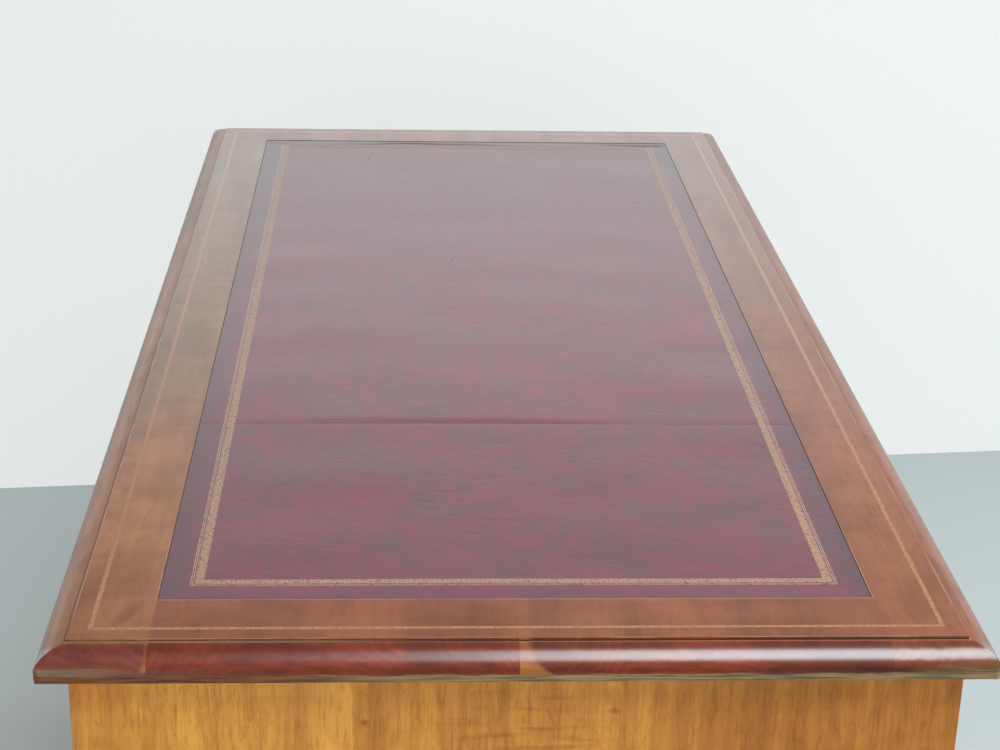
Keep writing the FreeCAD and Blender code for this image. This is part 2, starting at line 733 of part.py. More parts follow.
def bail(x_middle, z):
    """A swan-neck bail that hangs on two pins: a bent rod in the plane of its pivot axis."""
    eye = POST_SPACING / 2 + POST_DIAMETER / 2 + BAIL_SIDE_GAP
    neck = eye + BAIL_EYE_LENGTH
    grip = GRIP_CORNER_SHARE * POST_SPACING / 2
    half = [
        (eye, 0),
        (neck, 0),
        (neck + NECK_FLARE, -NECK_HEIGHT_SHARE * BAIL_DROP),
        (grip, -BAIL_DROP),
    ]
    route = [(-x, dz) for x, dz in half] + half[::-1]
    path = rounded_path([V(x_middle + x, HINGE_Y, z + dz) for x, dz in route])
    start = V(x_middle - eye, HINGE_Y, z)
    section = Part.Wire(Part.makeCircle(BAIL_DIAMETER / 2, start, V(1, 0, 0)))
    pieces = [path.makePipeShell([section], True, False)]
    inner = POST_SPACING / 2 - POST_DIAMETER / 2 - PIN_PAST_POST
    for sign in SIDES.values():
        pin_start = V(x_middle + sign * inner, HINGE_Y, z)
        pieces.append(rod(pin_start, V(sign, 0, 0), PIN_DIAMETER / 2, eye + BAIL_DIAMETER / 2 - inner))
    return fused(pieces)


def make_drawer(name, place):
    x0 = place["x0"] + DRAWER_GAP
    x1 = place["x1"] - DRAWER_GAP
    z0 = place["z0"] + DRAWER_GAP
    z1 = place["z1"] - DRAWER_GAP
    handle_z = (z0 + z1) / 2 + BAIL_DROP / 4
    boards, let_in = drawer_box(place)
    front = box(x0, x1, FRONT_Y, FRONT_Y + FRONT_THICKNESS, z0, z1)
    brass = []
    for suffix, x in place["handles"].items():
        fittings, holes = handle_posts(x, handle_z)
        brass += fittings
        let_in += holes
        save(name + "_bail" + suffix, bail(x, handle_z))
    if name == "frieze_centre":
        lock, bolt, lock_cuts = lock_parts(z1)
        brass += lock
        let_in += lock_cuts
        save("lock_bolt", bolt)
    beads = cock_beads(x0, x1, z0, z1)
    bead_rear = FRONT_Y + BEAD_REBATE
    inset = BEAD_THICKNESS
    core = box(x0 + inset, x1 - inset, FRONT_Y, bead_rear, z0 + inset, z1 - inset)
    rebate = box(x0, x1, FRONT_Y, bead_rear, z0, z1).cut(core)
    save(name + "_front", cut(front, let_in + [rebate]), *beads)
    save(name + "_box", *boards)
    save(name + "_brass", *brass)


def main():
    os.makedirs("parts", exist_ok=True)
    make_top()
    make_carcass()
    make_back()
    make_plinths()
    for name, place in openings().items():
        make_drawer(name, place)


main()
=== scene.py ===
# %% [markdown]
# # A kneehole desk with a tooled leather top
# The bare model already holds every board, drawer and brass fitting at its real size. This lesson gives
# each of them a finish, lays the leather and its gilt band on the top, and sets up one picture from the end
# of the desk. Only the leather is made anew, as a creased hide. Every other piece keeps its shape: a finish
# is a material, and a new piece rides on a body.

# %% Load the bare model
import math

import bpy
import numpy as np
from mathutils import Matrix, Vector


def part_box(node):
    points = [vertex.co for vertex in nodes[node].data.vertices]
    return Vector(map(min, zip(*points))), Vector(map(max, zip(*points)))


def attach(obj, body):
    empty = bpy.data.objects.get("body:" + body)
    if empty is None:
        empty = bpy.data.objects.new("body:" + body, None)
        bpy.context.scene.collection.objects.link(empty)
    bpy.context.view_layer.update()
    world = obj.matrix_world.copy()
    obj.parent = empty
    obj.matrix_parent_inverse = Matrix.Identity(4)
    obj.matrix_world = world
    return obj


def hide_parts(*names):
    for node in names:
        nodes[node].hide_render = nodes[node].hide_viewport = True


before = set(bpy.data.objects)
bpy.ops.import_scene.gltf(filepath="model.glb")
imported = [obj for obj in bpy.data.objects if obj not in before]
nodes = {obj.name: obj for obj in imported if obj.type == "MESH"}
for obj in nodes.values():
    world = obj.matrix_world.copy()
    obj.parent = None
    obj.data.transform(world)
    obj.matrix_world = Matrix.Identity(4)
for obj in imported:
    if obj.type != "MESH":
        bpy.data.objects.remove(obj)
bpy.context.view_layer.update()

# %% [markdown]
# ## Places to measure from
# Finishes follow edges: polish wears off an arris, and dirt stays in a quirk. So the planes that matter are
# read once from the bare model. The end panels stand right under the flat field of the top and give the
# field's edge.

# %% Planes of the desk
MM = 0.001
TOP_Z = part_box("top_plank_front")[1].z
FIELD_X = -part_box("left_end_panel")[0].x
FIELD_Y = -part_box("left_end_panel")[0].y
MID_JOINT_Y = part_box("top_plank_mid_front")[1].y
SIDE_JOINT_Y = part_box("top_plank_back")[0].y
LEATHER_LOW, LEATHER_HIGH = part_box("leather_inset")
DRAWERS = [name[: -len("_front")] for name in nodes if name.endswith("_front") and "plank" not in name]
print("field of the top", round(2 * FIELD_X, 3), "by", round(2 * FIELD_Y, 3), "m;", len(DRAWERS), "drawers")

# %% [markdown]
# ## The camera
# The picture is taken from chest height beyond one end of the desk, looking down along it. A camera could
# be aimed with a constraint, but this one is also turned a little, so its three axes are worked out from
# three angles.

# %% Camera
LENS_MM = 70.77
CAMERA_PLACE = Vector((-1.647, 0.075, 1.376))
LOOK_DOWN = 0.3877
LOOK_RIGHT = 0.0544
TURN = 0.0233

ahead = Vector((
    math.cos(LOOK_DOWN) * math.cos(LOOK_RIGHT),
    -math.cos(LOOK_DOWN) * math.sin(LOOK_RIGHT),
    -math.sin(LOOK_DOWN),
))
level = Vector((-math.sin(LOOK_RIGHT), -math.cos(LOOK_RIGHT), 0))
upward = level.cross(ahead)
picture_right = math.cos(TURN) * level + math.sin(TURN) * upward
picture_up = math.cos(TURN) * upward - math.sin(TURN) * level

camera = bpy.data.objects.new("camera", bpy.data.cameras.new("camera"))
camera.data.lens = LENS_MM
axes = Matrix((picture_right, picture_up, -ahead)).transposed().to_4x4()
camera.matrix_world = Matrix.Translation(CAMERA_PLACE) @ axes
bpy.context.scene.collection.objects.link(camera)
bpy.context.scene.camera = camera
print("camera", round((CAMERA_PLACE - Vector((0, 0, TOP_Z))).length, 2), "m from the middle of the top")

# %% [markdown]
# ## Mixing finishes
# A finish is a small network of shader nodes. Writing every node out hides the idea, so this helper keeps
# the network in one object and gives each kind of node a short verb. Each verb hands back the new node's
# output.

# %% A helper that mixes finishes
class Finish:
    """A material being mixed from procedural nodes, in the object's own coordinates."""

    def __init__(self, name):
        self.material = bpy.data.materials.new(name)
        self.material.use_nodes = True
        self.tree = self.material.node_tree
        self.shader = self.tree.nodes["Principled BSDF"]
        source = self.add("ShaderNodeTexCoord")
        self.spot = source.outputs["Object"]
        self.facing = source.outputs["Normal"]
        self.xyz = self.split(self.spot)

    def add(self, kind, **settings):
        node = self.tree.nodes.new(kind)
        for name, value in settings.items():
            setattr(node, name, value)
        return node

    def feed(self, socket, value):
        if isinstance(value, bpy.types.NodeSocket):
            self.tree.links.new(value, socket)
        else:
            socket.default_value = value

    def put(self, **values):
        """Sets the shader's own sockets, with spaces written as underscores."""
        for name, value in values.items():
            self.feed(self.shader.inputs[name.replace("_", " ")], value)

    def sum(self, rule, *values):
        node = self.add("ShaderNodeMath", operation=rule)
        for socket, value in zip(node.inputs, values):
            self.feed(socket, value)
        return node.outputs[0]

    def length(self, vector):
        node = self.add("ShaderNodeVectorMath", operation="LENGTH")
        self.feed(node.inputs[0], vector)
        return node.outputs["Value"]

    def split(self, vector):
        node = self.add("ShaderNodeSeparateXYZ")
        self.feed(node.inputs[0], vector)
        return node.outputs[0], node.outputs[1], node.outputs[2]

    def join(self, x, y, z):
        node = self.add("ShaderNodeCombineXYZ")
        for socket, value in zip(node.inputs, (x, y, z)):
            self.feed(socket, value)
        return node.outputs[0]

    def stretch(self, vector, scale, shift=(0, 0, 0)):
        node = self.add("ShaderNodeMapping")
        self.feed(node.inputs["Vector"], vector)
        self.feed(node.inputs["Scale"], scale)
        self.feed(node.inputs["Location"], shift)
        return node.outputs[0]

    def noise(self, vector, scale=1.0, detail=2.0, rough=0.5, twist=0.0):
        node = self.add("ShaderNodeTexNoise")
        self.feed(node.inputs["Vector"], vector)
        self.feed(node.inputs["Scale"], scale)
        self.feed(node.inputs["Detail"], detail)
        self.feed(node.inputs["Roughness"], rough)
        self.feed(node.inputs["Distortion"], twist)
        return node.outputs[0]

    def cells(self, vector, scale):
        node = self.add("ShaderNodeTexVoronoi")
        self.feed(node.inputs["Vector"], vector)
        self.feed(node.inputs["Scale"], scale)
        return node.outputs["Distance"]

    def rise(self, value, start, end):
        """0 at start, 1 at end, smooth between them; start may be the larger."""
        node = self.add("ShaderNodeMapRange", interpolation_type="SMOOTHSTEP")
        for socket, fed in zip(node.inputs, (value, start, end)):
            self.feed(socket, fed)
        return node.outputs[0]

    def both(self, *masks):
        found = masks[0]
        for mask in masks[1:]:
            found = self.sum("MULTIPLY", found, mask)
        return found

    def mix(self, share, first, second, way="MIX"):
        node = self.add("ShaderNodeMix", data_type="RGBA", blend_type=way)
        for place, value in ((0, share), (6, first), (7, second)):
            self.feed(node.inputs[place], value)
        return node.outputs[2]

    def tint(self, share, colour, factor):
        """Darkens or lightens a colour by a factor where share is 1."""
        return self.mix(share, colour, rgb(factor, factor, factor), "MULTIPLY")

    def blot(self, centre, radii, turn=0.0):
        """A soft oval patch: 1 in the middle, 0 past its radii, turned about the upright axis."""
        node = self.add("ShaderNodeMapping", vector_type="TEXTURE")
        self.feed(node.inputs["Vector"], self.spot)
        self.feed(node.inputs["Location"], centre)
        self.feed(node.inputs["Rotation"], (0, 0, turn))
        self.feed(node.inputs["Scale"], radii)
        return self.rise(self.length(node.outputs[0]), 1.0, 0.25)

    def relief(self, height, depth):
        node = self.add("ShaderNodeBump")
        self.feed(node.inputs["Height"], height)
        self.feed(node.inputs["Distance"], depth)
        self.feed(self.shader.inputs["Normal"], node.outputs[0])


def rgb(red, green, blue):
    return (red, green, blue, 1)


print("finish helper ready")

# %% [markdown]
# ## Studio
# A pale floor, a pale backdrop and soft light are all that the picture needs. The top is seen at a low
# angle, so it mirrors the backdrop as a milky sheen that grows towards the far end. That is why the
# backdrop glows, as a lit paper roll does, brightest where the far end mirrors it. It is clear from behind,
# so the desk can be seen from there too. A softbox over the near end, with a brighter core, draws the
# bright line on the moulded edge, and a low card shows in the polish of the near corner. Fills light the
# end, the front and the back and are kept out of reflections. The sky stays dim, so that the polish has
# something dark to mirror.

# %% Floor and backdrop
PALE_FLOOR = rgb(0.445, 0.49, 0.495)
PALE_WALL = rgb(0.96, 1.0, 0.99)
WALL_SHADE = rgb(0.30, 0.31, 0.31)
WALL_GLOW = 0.55
WALL_EXTRA_GLOW = 0.95
GLOW_FADES = (2.2, 1.3)
EXTRA_STARTS = (0.79, 0.97)
EXTRA_FADES = (1.75, 1.0)
WALL_BASE = (Vector((1.241, 0.622, 0)), Vector((1.375, -0.88, 0)))
WALL_REACH = 5.0
WALL_HEIGHT = 2.4
FLOOR_REACH = 9.0
PAINT_ROUGHNESS = 0.9


def stage_sheet(name, corners, colour):
    """A flat sheet of the studio and its paint."""
    mesh = bpy.data.meshes.new(name)
    mesh.from_pydata(corners, [], [range(len(corners))])
    sheet = bpy.data.objects.new(name, mesh)
    bpy.context.scene.collection.objects.link(sheet)
    paint = Finish(name)
    paint.put(Base_Color=colour, Roughness=PAINT_ROUGHNESS, Specular_IOR_Level=0.0)
    mesh.materials.append(paint.material)
    return paint


def clear_from_behind(paint):
    """Makes a sheet solid from its front only."""
    side = paint.add("ShaderNodeNewGeometry").outputs["Backfacing"]
    clear = paint.add("ShaderNodeBsdfTransparent")
    choice = paint.add("ShaderNodeMixShader")
    for socket, value in zip(choice.inputs, (side, paint.shader.outputs[0], clear.outputs[0])):
        paint.feed(socket, value)
    paint.feed(paint.tree.nodes["Material Output"].inputs["Surface"], choice.outputs[0])


quarter_turns = ((-1, -1), (1, -1), (1, 1), (-1, 1))
stage_sheet("floor", [(sx * FLOOR_REACH, sy * FLOOR_REACH, 0) for sx, sy in quarter_turns], PALE_FLOOR)
wall_run = (WALL_BASE[1] - WALL_BASE[0]).normalized()
left_end = WALL_BASE[0] - wall_run * WALL_REACH
right_end = WALL_BASE[1] + wall_run * WALL_REACH
climb = Vector((0, 0, WALL_HEIGHT))
backdrop = stage_sheet("backdrop", [left_end, right_end, right_end + climb, left_end + climb], WALL_SHADE)
height = backdrop.xyz[2]
extra = backdrop.both(backdrop.rise(height, *EXTRA_STARTS), backdrop.rise(height, *EXTRA_FADES))
plain = backdrop.sum("MULTIPLY", backdrop.rise(height, *GLOW_FADES), WALL_GLOW)
glow = backdrop.sum("MULTIPLY_ADD", extra, WALL_EXTRA_GLOW, plain)
backdrop.put(Emission_Color=PALE_WALL, Emission_Strength=glow)
clear_from_behind(backdrop)
print("floor and backdrop ready")

# %% Light
SKY = rgb(0.96, 0.985, 1.0)
SKY_STRENGTH = 0.22
WHITE = (1, 1, 1)
DAYLIGHT = (0.90, 0.96, 1.0)
COOL = (0.4, 0.9, 1.0)
OVERHEAD = (-1.05, -0.60)
FILL_SIZE = (2.6, 1.8)
# Each row: name, place, target, size, watts, colour, whether it lights surfaces, whether polish mirrors it
LIGHTS = (
    ("overhead_softbox", (*OVERHEAD, 2.4), (*OVERHEAD, 0), (1.6, 1.05), 62, DAYLIGHT, True, True),
    ("softbox_core", (*OVERHEAD, 2.38), (*OVERHEAD, 0), (0.6, 1.0), 5, COOL, False, True),
    ("end_fill", (-3.6, 0.2, 1.5), (-0.6, 0, 0.5), FILL_SIZE, 66, WHITE, True, False),
    ("front_fill", (0.2, -3.8, 1.6), (0, -0.3, 0.4), FILL_SIZE, 80, WHITE, True, False),
    ("corner_card", (-2.6, 0.95, 0.58), (-0.6, 0.25, 0.72), (0.9, 1.05), 6, DAYLIGHT, False, True),
    ("back_fill", (0.2, 3.8, 1.6), (0, 0.3, 0.4), FILL_SIZE, 30, WHITE, True, False),
)


def softbox(name, place, target, size, watts, colour, lights_surfaces, mirrored):
    """A rectangular light that faces its target and is not seen itself."""
    lamp = bpy.data.lights.new(name, "AREA")
    lamp.shape = "RECTANGLE"
    lamp.size, lamp.size_y = size
    lamp.energy = watts
    lamp.color = colour
    light = bpy.data.objects.new(name, lamp)
    light.location = place
    light.rotation_euler = (Vector(target) - Vector(place)).to_track_quat("-Z", "Y").to_euler()
    light.visible_camera = False
    light.visible_diffuse = lights_surfaces
    light.visible_glossy = mirrored
    bpy.context.scene.collection.objects.link(light)


world = bpy.data.worlds.new("studio")
bpy.context.scene.world = world
world.use_nodes = True
sky = world.node_tree.nodes["Background"]
sky.inputs["Color"].default_value = SKY
sky.inputs["Strength"].default_value = SKY_STRENGTH
for row in LIGHTS:
    softbox(*row)
bpy.context.scene.view_settings.view_transform = "Standard"
print("lights:", len(LIGHTS))

# %% [markdown]
# ## Timber
# A board is cut from a log, so its figure is growth rings round a heart line that runs along the grain. A
# flat wood picture would show the same stripes on every face. Here the rings are worked out in space: long
# faces show flames and stripes, and a sawn end shows arcs, with no extra work. Pores and fibres are noise
# drawn out along the grain.

# %% Timber recipe
GRAIN_ORDER = {"X": (0, 1, 2), "Y": (1, 0, 2), "Z": (2, 0, 1)}
BEND_SCALE = (1.7, 8, 8)
JITTER_SCALE = (4, 90, 90)
RING_JITTER = 1.3
BROAD_SCALE = (1.3, 16, 16)
FIBRE_SCALE = (16, 520, 520)
PORE_SCALE = (34, 1150, 1150)
POLISH_SCALE = (6, 40, 40)
LATE_STARTS = (0.15, 0.85)
LATE_ENDS = (1.0, 0.9)
BROAD_LEVELS = (0.30, 0.70)
FIBRE_LEVELS = (0.45, 0.75)
PORE_LEVELS = (0.60, 0.70)
SAWN_LEVELS = (0.55, 0.95)
WARMTH = 0.3
UNEVEN_POLISH = 0.2


class Timber(Finish):
    """Wood whose grain runs along one axis, cut at a given place from the heart of the log."""

    def __init__(
        self, name, along, tones, heart, ring, figure, ring_share=0.5, fibre_tint=0.78, pore_tint=0.6
    ):
        super().__init__(name)
        light, dark = tones
        order = GRAIN_ORDER[along]
        length, wide, thick = (self.xyz[place] for place in order)
        shift = self.board_shift()
        self.grain = self.join(length, self.sum("ADD", wide, shift), thick)
        bend = self.noise(self.stretch(self.grain, BEND_SCALE, heart), detail=2)
        sway = self.sum("MULTIPLY_ADD", bend, figure, shift)
        from_heart = self.join(
            self.sum("ADD", self.sum("SUBTRACT", wide, heart[1]), sway),
            self.sum("ADD", self.sum("SUBTRACT", thick, heart[2]), sway),
            0.0,
        )
        jitter = self.noise(self.stretch(self.grain, JITTER_SCALE), detail=2)
        jitter = self.sum("MULTIPLY", jitter, RING_JITTER)
        year = self.sum("FRACT", self.sum("MULTIPLY_ADD", self.length(from_heart), 1 / ring, jitter))
        late = self.both(self.rise(year, *LATE_STARTS), self.rise(year, *LATE_ENDS))
        broad = self.noise(self.stretch(self.grain, BROAD_SCALE, heart), detail=4, rough=0.6)
        self.fibre = self.noise(self.stretch(self.grain, FIBRE_SCALE), detail=3)
        pore = self.noise(self.stretch(self.grain, PORE_SCALE), detail=1)
        self.pores = self.rise(pore, *PORE_LEVELS)
        colour = self.mix(self.rise(broad, *BROAD_LEVELS), light, dark)
        self.colour = self.mix(self.sum("MULTIPLY", late, ring_share), colour, dark)
        self.deepen(self.rise(self.fibre, *FIBRE_LEVELS), fibre_tint)
        self.deepen(self.pores, pore_tint)
        sawn = self.sum("ABSOLUTE", self.split(self.facing)[order[0]])
        self.end_grain = self.rise(sawn, *SAWN_LEVELS)

    def board_shift(self):
        """How far the figure is shifted sideways; a glued-up panel shifts each board by another amount."""
        return 0.0

    def stain(self, share, tone):
        """Multiplies the wood by a tone where share is 1."""
        self.colour = self.mix(share, self.colour, tone, "MULTIPLY")

    def deepen(self, share, factor):
        """Darkens the wood where share is 1; blue goes first, so the dark stays warm."""
        self.stain(share, rgb(factor ** (1 - WARMTH), factor, factor ** (1 + WARMTH)))

    def cover(self, share, most, colour):
        """Covers the wood with a colour, at most by the given share."""
        self.colour = self.mix(self.sum("MULTIPLY", share, most), self.colour, colour)

    def figured(self, scale, levels, factor, settings, area=None):
        """Darkens the wood where a drawn-out noise rises past two levels; gives the noise back."""
        pattern = self.noise(self.stretch(self.spot, scale), **settings)
        mark = self.rise(pattern, *levels)
        self.deepen(mark if area is None else self.both(mark, area), factor)
        return pattern

    def polish(self, roughness, coat, coat_roughness, depth=0.1 * MM, end_tint=0.7):
        """Closes the recipe: shine, fibre relief and darker sawn ends."""
        uneven = self.noise(self.stretch(self.grain, POLISH_SCALE), detail=3)
        rough = self.sum("MULTIPLY_ADD", uneven, UNEVEN_POLISH, roughness - UNEVEN_POLISH / 2)
        self.put(Base_Color=self.tint(self.end_grain, self.colour, end_tint), Roughness=rough)
        self.put(Coat_Weight=coat, Coat_Roughness=coat_roughness)
        self.relief(self.sum("SUBTRACT", self.fibre, self.pores), depth)
        return self.material


def wear(node, *materials, pick=None):
    """Gives a bare node its finish; pick chooses one of several by a face's middle and direction."""
    mesh = nodes[node].data
    mesh.materials.clear()
    for material in materials:
        mesh.materials.append(material)
    for face in mesh.polygons:
        face.material_index = pick(face.center, face.normal) if pick else 0


print("timber recipe ready")

# %% [markdown]
# ## The boards of the top
# Four boards make the top, and their joints show on the moulded end, so each board is cut from another
# place in the log and has its own tones. The field has faded in the light, but the moulding keeps the deep
# red of its polish, so each board gets two finishes, chosen face by face. Both are cut from the same log,
# and the grain runs on from one to the other. On the faded field the rings and pores show less than on the
# nose.

# %% Tones of the top boards
TOP_RING = 4.2 * MM
TOP_FIGURE = 0.05
# Ring share, fibre tint and pore tint of each part
SHOWN = {"field": (0.18, 0.96, 0.90), "nose": (0.50, 0.88, 0.84)}
TOP_BOARDS = {
    "top_plank_back": {
        "heart": (0.3, 0.33, 0.60),
        "field": (rgb(0.256, 0.098, 0.036), rgb(0.175, 0.061, 0.020)),
        "nose": (rgb(0.20, 0.043, 0.024), rgb(0.115, 0.023, 0.013)),
    },
    "top_plank_mid_back": {
        "heart": (1.1, 0.16, 0.69),
        "field": (rgb(0.222, 0.060, 0.021), rgb(0.140, 0.035, 0.012)),
        "nose": (rgb(0.22, 0.036, 0.012), rgb(0.115, 0.017, 0.006)),
    },
    "top_plank_mid_front": {
        "heart": (2.3, -0.09, 0.66),
        "field": (rgb(0.206, 0.060, 0.024), rgb(0.130, 0.035, 0.013)),
        "nose": (rgb(0.20, 0.034, 0.012), rgb(0.105, 0.017, 0.006)),
    },
    "top_plank_front": {
        "heart": (3.7, -0.36, 0.63),
        "field": (rgb(0.207, 0.062, 0.025), rgb(0.138, 0.038, 0.0135)),
        "nose": (rgb(0.19, 0.047, 0.018), rgb(0.12, 0.028, 0.010)),
    },
}


def top_timber(node, part):
    """The timber of one board's field or nose."""
    board = TOP_BOARDS[node]
    name = node + "_" + part
    return Timber(name, "X", board[part], board["heart"], TOP_RING, TOP_FIGURE, *SHOWN[part])


fields = {node: top_timber(node, "field") for node in TOP_BOARDS}
noses = {node: top_timber(node, "nose") for node in TOP_BOARDS}
print("top boards cut:", len(TOP_BOARDS))

# %% [markdown]
# ## Marks of single boards
# Some marks belong to one board only. A streak of pale sapwood runs beside the middle joint and widens down
# the nose, and a sliver of it shows at the joint of the back board. The outer end of one nose has darkened,
# and a small chip on another is a fresher red. The back board is redder at the near end and darker further
# on, with a smear of old ink near its corner. Soft oval patches and distances to a joint are enough for all
# of them.

# %% Sapwood
SAPWOOD = rgb(0.30, 0.092, 0.027)
SAPWOOD_LOW = rgb(0.36, 0.165, 0.048)
LOW_TONE_DEPTHS = (5 * MM, 12 * MM)
STREAK_SCALE = (12, 60, 200)
STREAK_WANDER = 3 * MM
STREAK_EDGE = (3.5 * MM, -2.5 * MM)
STREAK_FADES = (-0.25, -0.6)


def depth_below_top(wood):
    return wood.sum("SUBTRACT", TOP_Z, wood.xyz[2])


def sapwood(wood, joint_y, width, flare, deepest):
    """Share of sapwood beside a joint at the near end, wider lower down and gone below the deepest place."""
    below = depth_below_top(wood)
    wander = wood.noise(wood.stretch(wood.spot, STREAK_SCALE), detail=3)
    reach = wood.sum("MULTIPLY_ADD", wood.sum("MULTIPLY", below, below), flare, width - STREAK_WANDER / 2)
    reach = wood.sum("MULTIPLY_ADD", wander, STREAK_WANDER, reach)
    gap = wood.sum("ABSOLUTE", wood.sum("SUBTRACT", wood.xyz[1], joint_y))
    inside = wood.rise(wood.sum("SUBTRACT", gap, reach), *STREAK_EDGE)
    near_end = wood.rise(wood.xyz[0], *STREAK_FADES)
    return wood.both(inside, near_end, wood.rise(below, deepest + MM, deepest - MM))


streaked, streaked_nose = fields["top_plank_mid_front"], noses["top_plank_mid_front"]
streak = sapwood(streaked, MID_JOINT_Y, width=7 * MM, flare=55, deepest=30 * MM)
streaked.cover(streak, most=0.35, colour=SAPWOOD)
lowered = streaked_nose.rise(depth_below_top(streaked_nose), *LOW_TONE_DEPTHS)
streak = sapwood(streaked_nose, MID_JOINT_Y, width=6.5 * MM, flare=55, deepest=30 * MM)
streaked_nose.cover(streak, most=0.75, colour=streaked_nose.mix(lowered, SAPWOOD, SAPWOOD_LOW))
back, back_nose = fields["top_plank_back"], noses["top_plank_back"]
sliver = sapwood(back_nose, SIDE_JOINT_Y, width=-0.6 * MM, flare=22, deepest=13 * MM)
back_nose.cover(sliver, most=0.6, colour=SAPWOOD_LOW)
print("sapwood shown on", streaked.material.name, "and on two noses")

# %% Darkened ends, ink and a chip
PURPLE = rgb(0.085, 0.022, 0.017)
CHIP_RED = rgb(0.30, 0.040, 0.014)
CHIP_PLACE = (-0.6, 0.075, TOP_Z - 4 * MM)
CHIP_RADII = (0.02, 0.005, 0.0016)
FRONT_PART_Y = (-0.12, -0.22)
# Each smear: its place in x and y, its radii, its turn and how far it darkens
INK_SMEARS = (
    ((-0.560, 0.2445), (0.026, 0.0075, 0.02), math.radians(-24), 0.62),
    ((-0.48, 0.243), (0.07, 0.012, 0.02), 0.0, 0.86),
)
# Each tone: where along the board it starts and is full, and the colour it multiplies by
BACK_TONES = (
    ((-0.42, -0.12), rgb(0.68, 0.78, 0.80)),
    ((-0.46, -0.56), rgb(0.89, 0.77, 0.74)),
)

streaked_nose.cover(streaked_nose.rise(streaked_nose.xyz[1], *FRONT_PART_Y), most=0.6, colour=PURPLE)
for place, radii, turn, factor in INK_SMEARS:
    back.deepen(back.blot((*place, TOP_Z), radii, turn), factor)
for span, tone in BACK_TONES:
    back.stain(back.rise(back.xyz[0], *span), tone)
chipped = noses["top_plank_mid_back"]
chipped.cover(chipped.blot(CHIP_PLACE, CHIP_RADII), most=0.7, colour=CHIP_RED)
print("single boards marked")

# %% [markdown]
# ## Wear and painted light of the top
# The field is darker in soft clouds, ribbons and veins, and it is painted darker towards the far end as
# shade, where less light reaches. Its arris is rubbed pale, and so is the brink of the recess at the near
# end. On the nose, the quirk below the arris is painted dark as dirt and shade, with pale dust towards the
# back. On the ends the red is painted deeper towards the quirk, and the lower nose darker, most of all
# towards the front; both are painted shade. The ledge under the quirk gets a painted highlight on the ends
# and the front side, and dirt with painted shade on the back side. The lower edge is rubbed bare, and the
# four corners have gone olive. Each mark is a mask measured from the planes of the desk.

# %% Wear and painted shade of the field
# Pale tone for rubbed wear on the field, also used as a painted highlight on the ledge of the nose
PALE_WEAR_AND_HIGHLIGHT = rgb(0.34, 0.17, 0.095)
RUBBED_SHARE = 0.5
# Painted shade: the field darkens towards the far end, where less light reaches
FAR_SHADE_SPAN = (0.0, 0.6)
FAR_SHADE_TINT = 0.7
ARRIS_IN = 0.4 * MM
ARRIS_WIDTH = (0.9 * MM, 0.3 * MM)
ARRIS_LEVELS = (0.46, 0.60)
BRINK_WIDTH = (1.7 * MM, 0.9 * MM)
BRINK_NEAR_END = (-0.40, -0.50)
BRINK_LEVELS = (0.3, 0.5)
# Each figure: scale of its noise, levels between which it darkens, how far, and settings of the noise
RIBBON = ((70, 14, 14), (0.45, 0.70), 0.86, {"detail": 2})
CLOUDS = ((17, 17, 17), (0.46, 0.68), 0.72, {"detail": 4})
VEINS = ((26, 75, 75), (0.50, 0.60), 0.86, {"detail": 5, "rough": 0.65, "twist": 1.2})


def outside(finish, edge_x, edge_y):
    """How far a place lies outside a rectangle about the middle of the top; negative inside it."""
    past_x = finish.sum("SUBTRACT", finish.sum("ABSOLUTE", finish.xyz[0]), edge_x)
    past_y = finish.sum("SUBTRACT", finish.sum("ABSOLUTE", finish.xyz[1]), edge_y)
    return finish.sum("MAXIMUM", past_x, past_y)


def field_wear_and_far_shade(wood):
    """Marks of use on the flat field of a board, and painted shade that darkens it towards the far end."""
    # Painted shade towards the far end, where less light reaches
    wood.deepen(wood.rise(wood.xyz[0], *FAR_SHADE_SPAN), FAR_SHADE_TINT)
    ribbon = wood.figured(*RIBBON)
    cloud = wood.figured(*CLOUDS)
    wood.figured(*VEINS)
    arris_gap = wood.sum("ABSOLUTE", wood.sum("ADD", outside(wood, FIELD_X, FIELD_Y), ARRIS_IN))
    arris = wood.both(wood.rise(arris_gap, *ARRIS_WIDTH), wood.rise(cloud, *ARRIS_LEVELS))
    wood.cover(arris, RUBBED_SHARE, PALE_WEAR_AND_HIGHLIGHT)
    brink = wood.rise(outside(wood, LEATHER_HIGH.x, LEATHER_HIGH.y), *BRINK_WIDTH)
    near_end = wood.rise(wood.xyz[0], *BRINK_NEAR_END)
    wood.cover(wood.both(brink, near_end, wood.rise(ribbon, *BRINK_LEVELS)), RUBBED_SHARE, PALE_WEAR_AND_HIGHLIGHT)


for wood in fields.values():
    field_wear_and_far_shade(wood)
print("fields worn:", len(fields))

# %% Wear and painted light of the nose
# Dark tone for dirt and painted shade in the quirk
GRIME_AND_SHADE = rgb(0.050, 0.024, 0.019)
DUST = rgb(0.20, 0.14, 0.092)
# Dirt and painted shade on the ledge of the back side
SIDE_DIRT_AND_SHADE = rgb(0.045, 0.034, 0.030)
BARE_OLIVE = rgb(0.26, 0.175, 0.085)
BARE_RED = rgb(0.185, 0.070, 0.029)
CORNER_OLIVE = rgb(0.17, 0.105, 0.042)
# Painted shade of the lower nose on the ends, darker towards the front
LOW_NOSE_PAINTED_SHADE = rgb(0.71, 0.61, 0.36)
FRONT_NOSE_PAINTED_SHADE = rgb(0.50, 0.46, 0.30)
AT_END_X = (FIELD_X - 2 * MM, FIELD_X + 6 * MM)
BACK_PART_Y = (0.02, 0.17)
BACK_SIDE_Y = (-0.1, 0.1)
